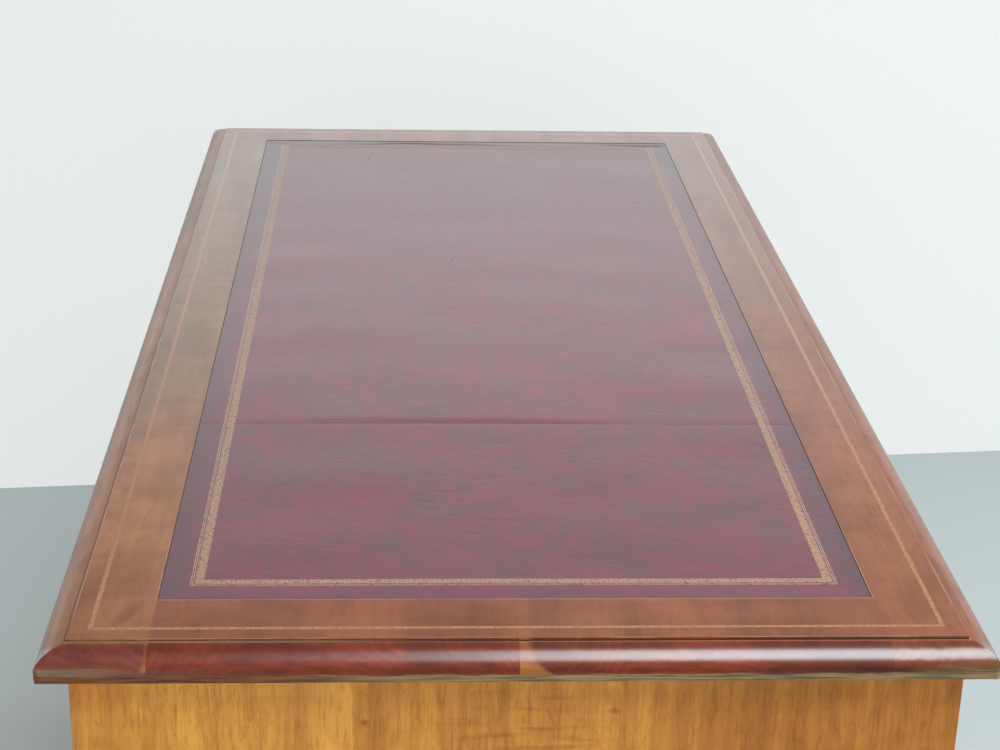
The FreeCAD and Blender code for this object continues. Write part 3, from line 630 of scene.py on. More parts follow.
# Painted shade: the red of the end noses deepens towards the quirk
QUIRK_SHADE_SPAN = (13 * MM, 2 * MM)
QUIRK_SHADE_TINT = 0.60
LOWER_NOSE = (8 * MM, 13 * MM)
QUIRK_OUT = (0.5 * MM, 0.2 * MM)
QUIRK_BELOW = (1.0 * MM, 1.4 * MM)
LEDGE_FROM = (0.3 * MM, 0.6 * MM)
LEDGE_UNTIL = (1.8 * MM, 1.3 * MM)
LEDGE_SHARE = 0.4
SHADED_SIDE_EXTRA_SHARE = 0.3
NOSE_STREAKS = ((30, 60, 260), (0.45, 0.65), 0.7, {"detail": 3})
RAGGED_EDGE = 4 * MM
CORNER_REACH = (FIELD_X + FIELD_Y - 28 * MM, FIELD_X + FIELD_Y + 14 * MM)
CORNER_SHARE = 0.75
CORNER_STREAKS = (0.40, 0.60)
CORNER_STREAK_TINT = 0.55
BARE_EDGE = (14.7 * MM, 15.9 * MM)
BARE_STREAKS = (0.42, 0.62)
BARE_STREAK_TINT = 0.5
BARE_PATCHES = (0.40, 0.65)
BARE_PATCH_TINT = 0.7
SIDE_GLOSS = 0.3
LOW_GLOSS = 0.65


def nose_wear_and_painted_light(wood, fading):
    """Fading, dirt, painted shade and painted highlights, and bare wood on the moulded edge of a board; gives
    the share of gloss left.
    """
    below = depth_below_top(wood)
    out = outside(wood, FIELD_X, FIELD_Y)
    at_end = wood.rise(wood.sum("ABSOLUTE", wood.xyz[0]), *AT_END_X)
    at_side = wood.sum("SUBTRACT", 1.0, at_end)
    lower = wood.rise(below, *LOWER_NOSE)
    towards_back = wood.rise(wood.xyz[1], *BACK_PART_Y)
    wood.stain(at_side, fading)
    # Painted shade: on the ends the red deepens towards the quirk
    wood.deepen(wood.both(wood.rise(below, *QUIRK_SHADE_SPAN), at_end), QUIRK_SHADE_TINT)
    # Painted shade: the lower nose on the ends is darkened, most of all towards the front
    shade = wood.mix(wood.rise(wood.xyz[1], *FRONT_PART_Y), LOW_NOSE_PAINTED_SHADE, FRONT_NOSE_PAINTED_SHADE)
    wood.stain(wood.both(lower, at_end), shade)
    wood.figured(*NOSE_STREAKS)
    # Painted shade: the quirk is covered dark as dirt and shade, paler with dust towards the back
    in_quirk = wood.both(wood.rise(out, *QUIRK_OUT), wood.rise(below, *QUIRK_BELOW))
    wood.cover(in_quirk, 1.0, wood.mix(towards_back, GRIME_AND_SHADE, DUST))
    # Painted light on the ledge below the quirk: a pale highlight on the ends and the front side, dirt and
    # painted shade on the back side
    ledge = wood.both(wood.rise(out, *LEDGE_FROM), wood.rise(out, *LEDGE_UNTIL))
    shaded_back_side = wood.both(at_side, wood.rise(wood.xyz[1], *BACK_SIDE_Y))
    most = wood.sum("MULTIPLY_ADD", shaded_back_side, SHADED_SIDE_EXTRA_SHARE, LEDGE_SHARE)
    wood.cover(ledge, most, wood.mix(shaded_back_side, PALE_WEAR_AND_HIGHLIGHT, SIDE_DIRT_AND_SHADE))
    bare_edge = bare_wood(wood, below, towards_back)
    polished = wood.sum("SUBTRACT", 1.0, bare_edge)
    gloss = wood.both(polished, wood.sum("MULTIPLY_ADD", at_end, 1.0 - SIDE_GLOSS, SIDE_GLOSS))
    return wood.both(gloss, wood.sum("MULTIPLY_ADD", lower, LOW_GLOSS - 1.0, 1.0))


def bare_wood(wood, below, towards_back):
    """Olive corners and the bare lower edge, both with a ragged upper limit; gives the share of bare edge."""
    patchy = wood.noise(wood.spot, 14, 4)
    ragged = wood.noise(wood.stretch(wood.spot, (45, 38, 120)), detail=3)
    streak = wood.noise(wood.stretch(wood.spot, (30, 30, 900)), detail=3)
    depth = wood.sum("MULTIPLY_ADD", ragged, RAGGED_EDGE, wood.sum("SUBTRACT", below, RAGGED_EDGE / 2))
    corner = wood.sum("ADD", wood.sum("ABSOLUTE", wood.xyz[0]), wood.sum("ABSOLUTE", wood.xyz[1]))
    corner = wood.both(wood.rise(corner, *CORNER_REACH), wood.rise(depth, *LOWER_NOSE))
    olive = wood.tint(wood.rise(streak, *CORNER_STREAKS), CORNER_OLIVE, CORNER_STREAK_TINT)
    wood.cover(corner, CORNER_SHARE, olive)
    bare_edge = wood.rise(depth, *BARE_EDGE)
    bare = wood.mix(towards_back, BARE_OLIVE, BARE_RED)
    bare = wood.tint(wood.rise(streak, *BARE_STREAKS), bare, BARE_STREAK_TINT)
    bare = wood.tint(wood.rise(patchy, *BARE_PATCHES), bare, BARE_PATCH_TINT)
    wood.cover(bare_edge, 1.0, bare)
    return bare_edge


gloss_left = {}
for node, wood in noses.items():
    field_light, nose_light = TOP_BOARDS[node]["field"][0], TOP_BOARDS[node]["nose"][0]
    gloss_left[node] = nose_wear_and_painted_light(wood, [faded / deep for faded, deep in zip(field_light, nose_light)])
print("noses worn:", len(noses))

# %% Finish the top boards
RECESS_BROWN = rgb(0.11, 0.065, 0.045)
WOOD_SPECULAR = 0.15
FACE_SLACK = 0.1 * MM
RECESS_SLACK = 0.5 * MM


def field_or_nose(middle, direction):
    """0 for the field of a board, 1 for its moulded edge, 2 for the recess under the hide."""
    out = max(abs(middle.x) - FIELD_X, abs(middle.y) - FIELD_Y)
    if middle.z > TOP_Z - FACE_SLACK / 2:
        return 0
    if out > -FACE_SLACK:
        return 1
    return 2 if middle.z > LEATHER_LOW.z - RECESS_SLACK else 0


recess = Finish("recess")
recess.put(Base_Color=RECESS_BROWN, Roughness=0.7, Specular_IOR_Level=0.3)
for node in TOP_BOARDS:
    field, nose = fields[node], noses[node]
    field.put(Specular_IOR_Level=WOOD_SPECULAR)
    nose.put(Specular_IOR_Level=WOOD_SPECULAR)
    field_finish = field.polish(roughness=0.40, coat=0.57, coat_roughness=0.12, depth=0.04 * MM)
    nose_finish = nose.polish(0.36, gloss_left[node], coat_roughness=0.27, depth=0.015 * MM, end_tint=1.0)
    wear(node, field_finish, nose_finish, recess.material, pick=field_or_nose)
print("top boards finished")

# %% [markdown]
# ## Boxwood stringing
# The pale line is a strip of boxwood let into a groove. Old wax has darkened its edges, and it fades into
# the wood beside it along the back and towards the far end. Its own width is kept in the model; only its
# tone wanders.

# %% Stringing
STRING_HALF = 1.5 * MM
STRING_WANDER = 1.0 * MM
STRING_CORE = (2.5 * MM, 1.6 * MM)
BOXWOOD_PALE = rgb(0.31, 0.134, 0.058)
BOXWOOD_FLECK = rgb(0.20, 0.074, 0.030)
BOXWOOD_LOST = rgb(0.225, 0.088, 0.035)
BOXWOOD_EDGE = rgb(0.14, 0.038, 0.014)
FLECK_LEVELS = (0.30, 0.70)
LOST_ALONG_BACK = ((-0.54, -0.42), (0.15, 0.25))
LOST_FAR_OFF = (-0.1, 0.4)
LOST_FAR_SHARE = 0.8

boxwood = Finish("boxwood")
string_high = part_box("boxwood_stringing")[1]
off_middle = outside(boxwood, string_high.x - STRING_HALF, string_high.y - STRING_HALF)
off_middle = boxwood.sum("ABSOLUTE", off_middle)
wander = boxwood.noise(boxwood.spot, 35, 4)
core = boxwood.rise(boxwood.sum("MULTIPLY_ADD", wander, STRING_WANDER, off_middle), *STRING_CORE)
fleck = boxwood.noise(boxwood.spot, 400, 3)
pale = boxwood.mix(boxwood.rise(fleck, *FLECK_LEVELS), BOXWOOD_PALE, BOXWOOD_FLECK)
along_back = boxwood.both(*(boxwood.rise(place, *span) for place, span in zip(boxwood.xyz, LOST_ALONG_BACK)))
far_off = boxwood.sum("MULTIPLY", boxwood.rise(boxwood.xyz[0], *LOST_FAR_OFF), LOST_FAR_SHARE)
pale = boxwood.mix(boxwood.sum("MAXIMUM", along_back, far_off), pale, BOXWOOD_LOST)
boxwood.put(Base_Color=boxwood.mix(core, BOXWOOD_EDGE, pale), Roughness=0.42)
boxwood.put(Coat_Weight=0.6, Coat_Roughness=0.12, Specular_IOR_Level=WOOD_SPECULAR)
boxwood.relief(fleck, 0.05 * MM)
wear("boxwood_stringing", boxwood.material)
print("stringing finished")

# %% [markdown]
# ## The case
# The ends, the drawer rails, the back and the plinths are a paler walnut, waxed to a warm gold. Each end is
# glued up from upright staves, so its grain starts afresh at every joint. Boards that lie level or run to
# the back get the same wood with its grain turned, and a framed back gets two of them, chosen face by face.
# On the ends, several noises make the bands, mottle and flame of the figure, and soft patches place the pin
# knots and the warmer spots.

# %% Case timber
CASE_TONES = (rgb(0.65, 0.305, 0.050), rgb(0.46, 0.190, 0.027))
CASE_RING = 6 * MM
CASE_FIGURE = 0.06
# Ring share, fibre tint and pore tint
CASE_SHOWN = (0.3, 0.86, 0.78)
END_SHOWN = (0.20, 0.87, 0.86)
# Where each stave of an end starts, as a share of the end's depth, and its tone
STAVE_JOINT_SHARES = (0.0, 0.124, 0.176, 0.31, 0.486, 0.508, 0.70, 0.86)
STAVE_TONES = (0.30, 0.55, 0.15, 0.75, 0.42, 0.20, 0.62, 0.35)


class StaveTimber(Timber):
    """Upright staves glued side by side across the depth of the desk."""

    def board_shift(self):
        share = self.sum("MULTIPLY_ADD", self.xyz[1], -0.5 / FIELD_Y, 0.5)
        ramp = self.add("ShaderNodeValToRGB")
        ramp.color_ramp.interpolation = "CONSTANT"
        while len(ramp.color_ramp.elements) < len(STAVE_JOINT_SHARES):
            ramp.color_ramp.elements.new(1.0)
        for stop, place, tone in zip(ramp.color_ramp.elements, STAVE_JOINT_SHARES, STAVE_TONES):
            stop.position = place
            stop.color = rgb(tone, tone, tone)
        self.feed(ramp.inputs[0], share)
        self.tone = self.split(ramp.outputs[0])[0]
        return self.tone


def case_finish(name, along):
    wood = Timber(name, along, CASE_TONES, (0.4, 0.9, 0.35), CASE_RING, CASE_FIGURE, *CASE_SHOWN)
    return wood.polish(roughness=0.45, coat=0.25, coat_roughness=0.22)


end_wood = StaveTimber("case_staves", "Z", CASE_TONES, (0.2, 0.8, 0.45), CASE_RING, CASE_FIGURE, *END_SHOWN)
upright_finish = case_finish("case_upright", "Z")
level_finish = case_finish("case_level", "X")
deep_finish = case_finish("case_deep", "Y")
print("case timber cut, ends of", len(STAVE_JOINT_SHARES), "staves")

# %% Figure of the ends
STAVE_LEVELS = (0.2, 0.8)
STAVE_TINT = 0.92
END_FIGURES = {
    "bands": ((30, 105, 3.4), (0.42, 0.64), 0.76, {"detail": 4, "rough": 0.6}),
    "mottle": ((20, 42, 26), (0.46, 0.66), 0.90, {"detail": 4, "rough": 0.6}),
    "fiddleback": ((20, 16, 150), (0.46, 0.62), 0.95, {"detail": 2}),
    "flame": ((30, 150, 40), (0.46, 0.60), 0.80, {"detail": 5, "rough": 0.7, "twist": 1.0}),
}
RIPPLE = ((30, 26, 260), (0.50, 0.66), 0.74, {"detail": 3})
RIPPLE_PLACE = (-0.005, 0.700)
RIPPLE_RADII = (0.05, 0.075, 0.050)
FRONT_FADES = (0.12, -0.30)
FRONT_TONE = rgb(0.72, 0.60, 0.54)
GOLDEN = rgb(1.04, 1.07, 1.12)
# Each patch: its place in y and z, its radii and the colour it multiplies by
END_PATCHES = {
    "honey": ((0.2126, 0.715), (0.05, 0.045, 0.07), rgb(1.16, 1.24, 1.22)),
    "russet": ((0.264, 0.742), (0.05, 0.03, 0.03), rgb(0.96, 0.80, 0.66)),
}
# Each knot: its place in y and z, half its width and how far it darkens
PIN_KNOTS = (
    ((0.168, 0.713), 2.5 * MM, 0.74),
    ((0.097, 0.710), 3.6 * MM, 0.55),
    ((-0.0595, 0.7175), 5.5 * MM, 0.60),
)
KNOT_DEPTH = 20 * MM
KNOT_HALF_HEIGHT = 3.4 * MM

end_wood.deepen(end_wood.rise(end_wood.tone, *STAVE_LEVELS), STAVE_TINT)
for figure in END_FIGURES.values():
    end_wood.figured(*figure)
end_wood.figured(*RIPPLE, area=end_wood.blot((-FIELD_X, *RIPPLE_PLACE), RIPPLE_RADII))
end_wood.stain(end_wood.rise(end_wood.xyz[1], *FRONT_FADES), FRONT_TONE)
end_wood.stain(1.0, GOLDEN)
for place, radii, tone in END_PATCHES.values():
    end_wood.stain(end_wood.blot((-FIELD_X, *place), radii), tone)
for place, half_width, factor in PIN_KNOTS:
    end_wood.deepen(end_wood.blot((-FIELD_X, *place), (KNOT_DEPTH, half_width, KNOT_HALF_HEIGHT)), factor)
end_wood.put(Specular_IOR_Level=0.25)
end_finish = end_wood.polish(roughness=0.42, coat=0.12, coat_roughness=0.2)
print("ends figured with", *END_FIGURES, "and", len(PIN_KNOTS), "pin knots")

# %% Finish the case
BACK_BAYS = sorted({round(abs(v.co.x), 4) for v in nodes["back_panels"].data.vertices})
RAIL_TONGUE = 6 * MM


def stile_or_rail(middle, direction):
    """0 for the upright stiles of the back, 1 for the rails between them."""
    x = abs(middle.x)
    in_outer_bay = BACK_BAYS[1] + RAIL_TONGUE < x < BACK_BAYS[2] - RAIL_TONGUE
    return 1 if x < BACK_BAYS[0] - RAIL_TONGUE or in_outer_bay else 0


def front_or_side(middle, direction):
    """0 for plinth boards along the desk, 1 for those that run from front to back."""
    return 1 if abs(direction.x) > abs(direction.y) else 0


for side in ("left", "right"):
    wear(side + "_end_panel", end_finish)
    wear(side + "_kneehole_side", upright_finish)
    wear(side + "_plinth", level_finish, deep_finish, pick=front_or_side)
wear("back_panels", upright_finish)
wear("back_frame", upright_finish, level_finish, pick=stile_or_rail)
for node in ("top_rails_and_kickers", "drawer_blades", "kneehole_ceiling"):
    wear(node, level_finish)
print("case finished; back bays reach", BACK_BAYS)

# %% [markdown]
# ## Drawers
# The fronts are the show wood: a redder walnut with a livelier figure, edged with darker cock beads. The
# boxes behind them are plain pine, which stays dry and pale because nobody polishes the inside of a drawer.
# The floor of each pedestal is pine too, with the show wood of the case on its front edge.

# %% Drawer finishes
BEAD_DEEP = 8.5 * MM
BEAD_WIDE = 3.2 * MM
FRONT_FACING = -0.9
FRONT_TONES = (rgb(0.43, 0.155, 0.042), rgb(0.21, 0.064, 0.017))
BEAD_TONES = (rgb(0.22, 0.075, 0.026), rgb(0.12, 0.036, 0.012))
PINE_TONES = (rgb(0.60, 0.40, 0.20), rgb(0.45, 0.25, 0.10))
front_wood = Timber("drawer_front", "X", FRONT_TONES, (0.7, -0.34, 0.52), ring=5.5 * MM, figure=0.09)
front_finish = front_wood.polish(roughness=0.38, coat=0.45, coat_roughness=0.14)
bead_wood = Timber("cock_bead", "X", BEAD_TONES, (1.7, -0.2, 0.3), ring=4 * MM, figure=0.03, ring_share=0.4)
bead_finish = bead_wood.polish(roughness=0.35, coat=0.45, coat_roughness=0.14, end_tint=0.9)
pine_wood = Timber("pine_deep", "Y", PINE_TONES, (0.9, 0.4, 0.9), ring=8 * MM, figure=0.05, ring_share=0.45)
pine_finish = pine_wood.polish(roughness=0.62, coat=0.0, coat_roughness=0.3, depth=0.15 * MM, end_tint=0.8)


def bead_picker(node):
    low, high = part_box(node)

    def pick(middle, direction):
        """1 for the beads round the front, 0 for the front itself."""
        edge = min(middle.x - low.x, high.x - middle.x, middle.z - low.z, high.z - middle.z)
        return 1 if edge < BEAD_WIDE and middle.y < low.y + BEAD_DEEP else 0

    return pick


def front_edge(middle, direction):
    """1 for faces that look to the front of the desk, 0 for all others."""
    return 1 if direction.y < FRONT_FACING else 0


for name in DRAWERS:
    wear(name + "_front", front_finish, bead_finish, pick=bead_picker(name + "_front"))
    wear(name + "_box", pine_finish)
for node in ("drawer_runners", "drawer_stops", "plinth_corner_blocks"):
    wear(node, pine_finish)
wear("pedestal_bottoms", pine_finish, level_finish, pick=front_edge)
print("drawers finished:", DRAWERS)

# %% [markdown]
# ## Brass and steel
# Handles darken where fingers don't reach and stay bright where they do. A noise mask between bright and
# tarnished brass is enough at this size. The screws are hidden under the top and only need a dull grey.

# %% Metal finishes
BRIGHT_BRASS = rgb(0.72, 0.49, 0.19)
TARNISHED_BRASS = rgb(0.30, 0.18, 0.065)
GREY_STEEL = rgb(0.42, 0.41, 0.40)
DARK_STEEL = rgb(0.20, 0.18, 0.17)
SPOTS_SHARE = 0.25
TARNISH_LEVELS = (0.52, 0.82)
BRIGHT_ROUGHNESS = 0.28
TARNISH_ROUGHNESS = 0.50

brass = Finish("aged_brass")
cloud = brass.noise(brass.spot, 90, 4)
spots = brass.noise(brass.spot, 700, 2)
tarnish = brass.rise(brass.sum("MULTIPLY_ADD", spots, SPOTS_SHARE, cloud), *TARNISH_LEVELS)
brass.put(Base_Color=brass.mix(tarnish, BRIGHT_BRASS, TARNISHED_BRASS), Metallic=1.0)
rougher = TARNISH_ROUGHNESS - BRIGHT_ROUGHNESS
brass.put(Roughness=brass.sum("MULTIPLY_ADD", tarnish, rougher, BRIGHT_ROUGHNESS))
brass.relief(spots, 0.04 * MM)
steel = Finish("screw_steel")
scale = steel.noise(steel.spot, 500, 3)
steel.put(Base_Color=steel.mix(scale, GREY_STEEL, DARK_STEEL), Metallic=1.0, Roughness=0.45)

for node in nodes:
    if node.endswith("_brass") or "_bail" in node or node == "lock_bolt":
        wear(node, brass.material)
wear("top_screws", steel.material)
print("metal finished")

# %% [markdown]
# ## The hide
# The writing surface is one hide laid in the recess, and it has not stayed flat: it was once folded across
# its length, so two creases cross it, a ridge has lifted near the far end, and the rest is a little
# rippled. Cloth simulation would drape it at random. These folds are known, so the height is a formula,
# sampled on a grid that is finer near each fold. The same formula later sets the gilding on the hide.

# %% Height of the hide
NEAR_CREASE_X = LEATHER_LOW.x + 278 * MM
NEAR_CREASE_HEIGHT = 0.44 * MM
NEAR_SWAY = 0.8 * MM
FAR_CREASE_X = LEATHER_LOW.x + 797 * MM
FAR_CREASE_HEIGHT = 0.10 * MM
FAR_SWAY = 1.5 * MM
SWAY_WAVES = 11.0
SWAY_PHASE = 0.7
CREASE_CLIMBS = (0, 11 * MM)
CREASE_SINKS = (150 * MM, 25 * MM)
GROOVE_SHARE = 0.2
GROOVE_REACH = 1.6 * MM
RIDGE_X = LEATHER_HIGH.x - 9.5 * MM
RIDGE_HEIGHT = 0.8 * MM
RIDGE_REACH = 2.6 * MM
RIDGE_HOLD = 7 * MM
EDGE_HOLD = 24 * MM
RIPPLE_HEIGHT = 0.035 * MM
RIPPLE_COUNT = 14
draw = np.random.default_rng(11)
RIPPLES = draw.uniform((18, -45, 0), (75, 45, 2 * math.pi), (RIPPLE_COUNT, 3))


def smooth(value, start, end):
    """0 at start, 1 at end, smooth between them; start may be the larger."""
    share = np.clip((value - start) / (end - start), 0, 1)
    return share * share * (3 - 2 * share)


def bulge(past, reach):
    """1 on a line across the hide, falling away to both sides of it."""
    return np.exp(-((past / reach) ** 2))


def crease(x, y, place, height, sway):
    """A fold across the hide: a fine groove, then a step up that sinks back further on."""
    past = x - place - sway * np.sin(SWAY_WAVES * y + SWAY_PHASE) - 0.4 * sway * np.sin(37 * y)
    strength = 0.6 + 0.4 * np.sin(19 * y + 1.1)
    step = height * smooth(past, *CREASE_CLIMBS) * smooth(past, *CREASE_SINKS)
    return strength * (step - GROOVE_SHARE * height * bulge(past, GROOVE_REACH))


def hide_lift(x, y):
    """How far the hide stands above its flat level at a place."""
    ripple = sum(np.sin(across * x + along * y + phase) for across, along, phase in RIPPLES)
    past_ridge = x - RIDGE_X - 1.4 * MM * np.sin(31 * y) - 0.9 * MM * np.sin(83 * y + 2)
    ridge = RIDGE_HEIGHT * bulge(past_ridge, RIDGE_REACH) * (0.6 + 0.4 * np.sin(23 * y + 0.4))
    near_crease = crease(x, y, NEAR_CREASE_X, NEAR_CREASE_HEIGHT, NEAR_SWAY)
    far_crease = crease(x, y, FAR_CREASE_X, FAR_CREASE_HEIGHT, FAR_SWAY)
    from_rim = np.minimum(LEATHER_HIGH.y - np.abs(y), LEATHER_HIGH.x - np.abs(x))
    folds = RIPPLE_HEIGHT * ripple + near_crease + far_crease
    return ridge * smooth(from_rim, 0, RIDGE_HOLD) + folds * smooth(from_rim, 0, EDGE_HOLD)


print("hide creased at x", round(NEAR_CREASE_X, 3), "and", round(FAR_CREASE_X, 3))

# %% Mesh of the hide
COARSE_X = 3.2 * MM
FINE_X = 0.8 * MM
COARSE_Y = 4.0 * MM
FINE_REACH = 15 * MM


def grid_lines(low, high, coarse, fine_spots=()):
    """Places of grid lines from low to high, closer together near the given spots."""
    found = [low]
    while found[-1] < high - coarse:
        near = any(abs(found[-1] - spot) < FINE_REACH for spot in fine_spots)
        found.append(found[-1] + (FINE_X if near else coarse))
    return np.array(found + [high])


def new_piece(name, corners, faces, finish):
    """A piece of the desk from corners and faces, which rides on the carcass."""
    mesh = bpy.data.meshes.new(name)
    mesh.from_pydata([tuple(corner) for corner in corners], [], faces)
    mesh.materials.append(finish)
    piece = bpy.data.objects.new(name, mesh)
    bpy.context.scene.collection.objects.link(piece)
    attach(piece, "carcass")
    return piece


def hide_mesh():
    """Corners and faces of the hide: a creased grid, its four edges and a flat underside."""
    xs = grid_lines(LEATHER_LOW.x, LEATHER_HIGH.x, COARSE_X, (NEAR_CREASE_X, FAR_CREASE_X, RIDGE_X))
    ys = grid_lines(LEATHER_LOW.y, LEATHER_HIGH.y, COARSE_Y)
    rows, columns = len(xs), len(ys)
    x, y = np.meshgrid(xs, ys, indexing="ij")
    top = np.stack((x, y, LEATHER_HIGH.z + hide_lift(x, y)), axis=-1).reshape(-1, 3)
    number = np.arange(rows * columns).reshape(rows, columns)
    quads = np.stack((number[:-1, :-1], number[1:, :-1], number[1:, 1:], number[:-1, 1:]), axis=-1)
    rim = np.concatenate((number[:-1, 0], number[-1, :-1], number[:0:-1, -1], number[0, :0:-1]))
    underside = top[rim].copy()
    underside[:, 2] = LEATHER_LOW.z
    low_rim = rows * columns + np.arange(len(rim))
    sides = np.stack((rim, low_rim, np.roll(low_rim, -1), np.roll(rim, -1)), axis=-1)
    faces = quads.reshape(-1, 4).tolist() + sides.tolist() + [low_rim[::-1].tolist()]
    return np.concatenate((top, underside)), faces


print("grid of the hide: lines", COARSE_X, "m apart, or", FINE_X, "m near a fold")

# %% [markdown]
# ## Finish of the hide
# Old hide dyed crimson has gone grey in clouds, and less crimson is mixed in towards the far end; the rim
# that nobody rubs is a dull slate. Two noises of different size make the clouds and the blotches in them, and
# distances to the rim and to the crease place the rest. Beyond the crease the hide is painted a deeper
# crimson, as painted shade where its slope mirrors less of the backdrop, and the groove of the fold is
# painted darker as shade. Scratches are long thin ovals of darker colour. A fine pebble of cells is the
# grain, and a broad noise in the relief stands for wrinkles.

# %% Dye of the hide
CRIMSON = rgb(0.142, 0.027, 0.047)
GREYED = rgb(0.084, 0.037, 0.043)
SLATE = rgb(0.058, 0.034, 0.042)
CLOUD_SHARE = 0.35
BLOTCH_SHARE = 0.80
MOTTLE_LEVELS = (0.38, 0.78)
RED_FADES = (0.55, -0.05)
LEAST_RED = 0.42
RAGGED_RIM = 9 * MM
SIDE_RIM = (24 * MM, 9 * MM)
SIDE_RIM_SHARE = 0.60
END_RIM = (12 * MM, 6 * MM)
END_RIM_SHARE = 0.3
MIDDLE_FROM = (-0.30, -0.15)
MIDDLE_UNTIL = (0.35, 0.10)
MIDDLE_TINT = 1.14

hide = Finish("writing_leather")
hide_x, hide_y = hide.xyz[:2]
clouds = hide.noise(hide.stretch(hide.spot, (1.3, 1, 1)), 14, 3, 0.5)
blotches = hide.noise(hide.stretch(hide.spot, (0.7, 1, 1)), 72, 5, 0.66)
mottle = hide.sum("MULTIPLY_ADD", blotches, BLOTCH_SHARE, hide.sum("MULTIPLY", clouds, CLOUD_SHARE))
redness = hide.sum("MULTIPLY_ADD", hide.rise(hide_x, *RED_FADES), 1.0 - LEAST_RED, LEAST_RED)
dye = hide.mix(hide.both(hide.rise(mottle, *MOTTLE_LEVELS), redness), GREYED, CRIMSON)
ragged_rim = hide.sum("MULTIPLY", blotches, RAGGED_RIM)


def rim_share(edge, across, span, share):
    """Share of slate along two opposite edges of the hide, ragged on its inner side."""
    from_edge = hide.sum("SUBTRACT", edge, hide.sum("ABSOLUTE", across))
    return hide.sum("MULTIPLY", hide.rise(hide.sum("ADD", from_edge, ragged_rim), *span), share)


side_rim = rim_share(LEATHER_HIGH.y, hide_y, SIDE_RIM, SIDE_RIM_SHARE)
end_rim = rim_share(LEATHER_HIGH.x, hide_x, END_RIM, END_RIM_SHARE)
dye = hide.mix(hide.sum("MAXIMUM", side_rim, end_rim), dye, SLATE)
middle_part = hide.both(hide.rise(hide_x, *MIDDLE_FROM), hide.rise(hide_x, *MIDDLE_UNTIL))
dye = hide.tint(middle_part, dye, MIDDLE_TINT)
print("hide dyed")

# %% Painted shade of the fold, scuffs and scratches
# Painted shade: a deeper crimson on the slope beyond the crease, where it mirrors less of the backdrop
FOLD_SHADE_CRIMSON = rgb(0.135, 0.012, 0.030)
FOLD_SHADE_SHARE = 0.52
FOLD_STARTS = (-0.5 * MM, 1.5 * MM)
FOLD_FADES = (14 * MM, 2 * MM)
FOLD_LEVELS = (0.30, 0.60)
# Painted shade in the groove of the fold
GROOVE_WIDTH = (1.6 * MM, 0.4 * MM)
GROOVE_LEVELS = (0.30, 0.55)
GROOVE_SHADE_TINT = 0.45
SCUFFED = rgb(0.082, 0.054, 0.054)
SCUFF_LEVELS = (0.35, 0.60)
SCUFF_SHARE = 0.4
SCRATCH_TINT = 0.35
SCRATCH_REACH = 0.6
MARK_DEPTH = 5 * MM
# Each scuff, in mm: its place along and across the hide, and its radii along and across
SCUFFS = ((131, 49, 20, 36), (168, 113, 14, 18), (216, -70, 24, 40), (190, 150, 40, 30), (720, 40, 60, 70))
# Each scratch, in mm: where it starts and ends, along and across the hide, and half its width
SCRATCHES = (
    ((146, 66.6), (138, 47.6), 1.3),
    ((125.5, 45.7), (119, 33.6), 1.1),
    ((1054.6, 103.5), (979, 117.4), 1.5),
    ((1042, -39), (1000, 1.9), 1.5),
    ((687, 22), (643, 31.7), 1.2),
    ((841, -37), (822, -35), 1.6),
)


def hide_place(along, across):
    """A place on the hide, from mm along it from the near end and mm across it from the middle."""
    return (LEATHER_LOW.x + along * MM, across * MM, LEATHER_HIGH.z)


# Painted shade: deeper crimson beyond the crease, where the hide's slope mirrors less of the backdrop
wave = hide.sum("SINE", hide.sum("MULTIPLY_ADD", hide_y, SWAY_WAVES, SWAY_PHASE))
past_crease = hide.sum("SUBTRACT", hide_x, hide.sum("MULTIPLY_ADD", wave, NEAR_SWAY, NEAR_CREASE_X))
fold = hide.both(hide.rise(past_crease, *FOLD_STARTS), hide.rise(past_crease, *FOLD_FADES))
fold = hide.both(fold, hide.rise(clouds, *FOLD_LEVELS))
dye = hide.mix(hide.sum("MULTIPLY", fold, FOLD_SHADE_SHARE), dye, FOLD_SHADE_CRIMSON)
# Painted shade: a darker line in the groove of the fold
groove = hide.rise(hide.sum("ABSOLUTE", past_crease), *GROOVE_WIDTH)
dye = hide.tint(hide.both(groove, hide.rise(clouds, *GROOVE_LEVELS)), dye, GROOVE_SHADE_TINT)
for along, across, length, width in SCUFFS:
    scuff = hide.blot(hide_place(along, across), (length * MM, width * MM, MARK_DEPTH))
    scuff = hide.both(scuff, hide.rise(blotches, *SCUFF_LEVELS))
    dye = hide.mix(hide.sum("MULTIPLY", scuff, SCUFF_SHARE), dye, SCUFFED)
for start, end, half_width in SCRATCHES:
    run = Vector(end) - Vector(start)
    middle = (Vector(end) + Vector(start)) / 2
    radii = (SCRATCH_REACH * run.length * MM, half_width * MM, MARK_DEPTH)
    dye = hide.tint(hide.blot(hide_place(*middle), radii, math.atan2(run.y, run.x)), dye, SCRATCH_TINT)
print("hide marked with", len(SCUFFS), "scuffs and", len(SCRATCHES), "scratches")

# %% Grain of the hide
PEBBLE_SCALE = 1050
PORE_GRAIN_SCALE = 2600
PORE_SHARE = 0.5
GRAIN_SHARE = 0.08
WRINKLE_SCALE = (66, 34, 1)
HIDE_RELIEF = 0.20 * MM
LEAST_ROUGH = 0.285
CLOUDED_ROUGH = 0.04

pebble = hide.cells(hide.spot, PEBBLE_SCALE)
pores = hide.noise(hide.spot, PORE_GRAIN_SCALE, 2)
grain = hide.sum("MULTIPLY", hide.sum("MULTIPLY_ADD", pores, PORE_SHARE, pebble), GRAIN_SHARE)
wrinkles = hide.noise(hide.stretch(hide.spot, WRINKLE_SCALE), 1.0, 4, 0.6, 0.9)
hide.put(Base_Color=dye, Roughness=hide.sum("MULTIPLY_ADD", clouds, CLOUDED_ROUGH, LEAST_ROUGH))
hide.relief(hide.sum("ADD", grain, wrinkles), HIDE_RELIEF)
print("hide grained")

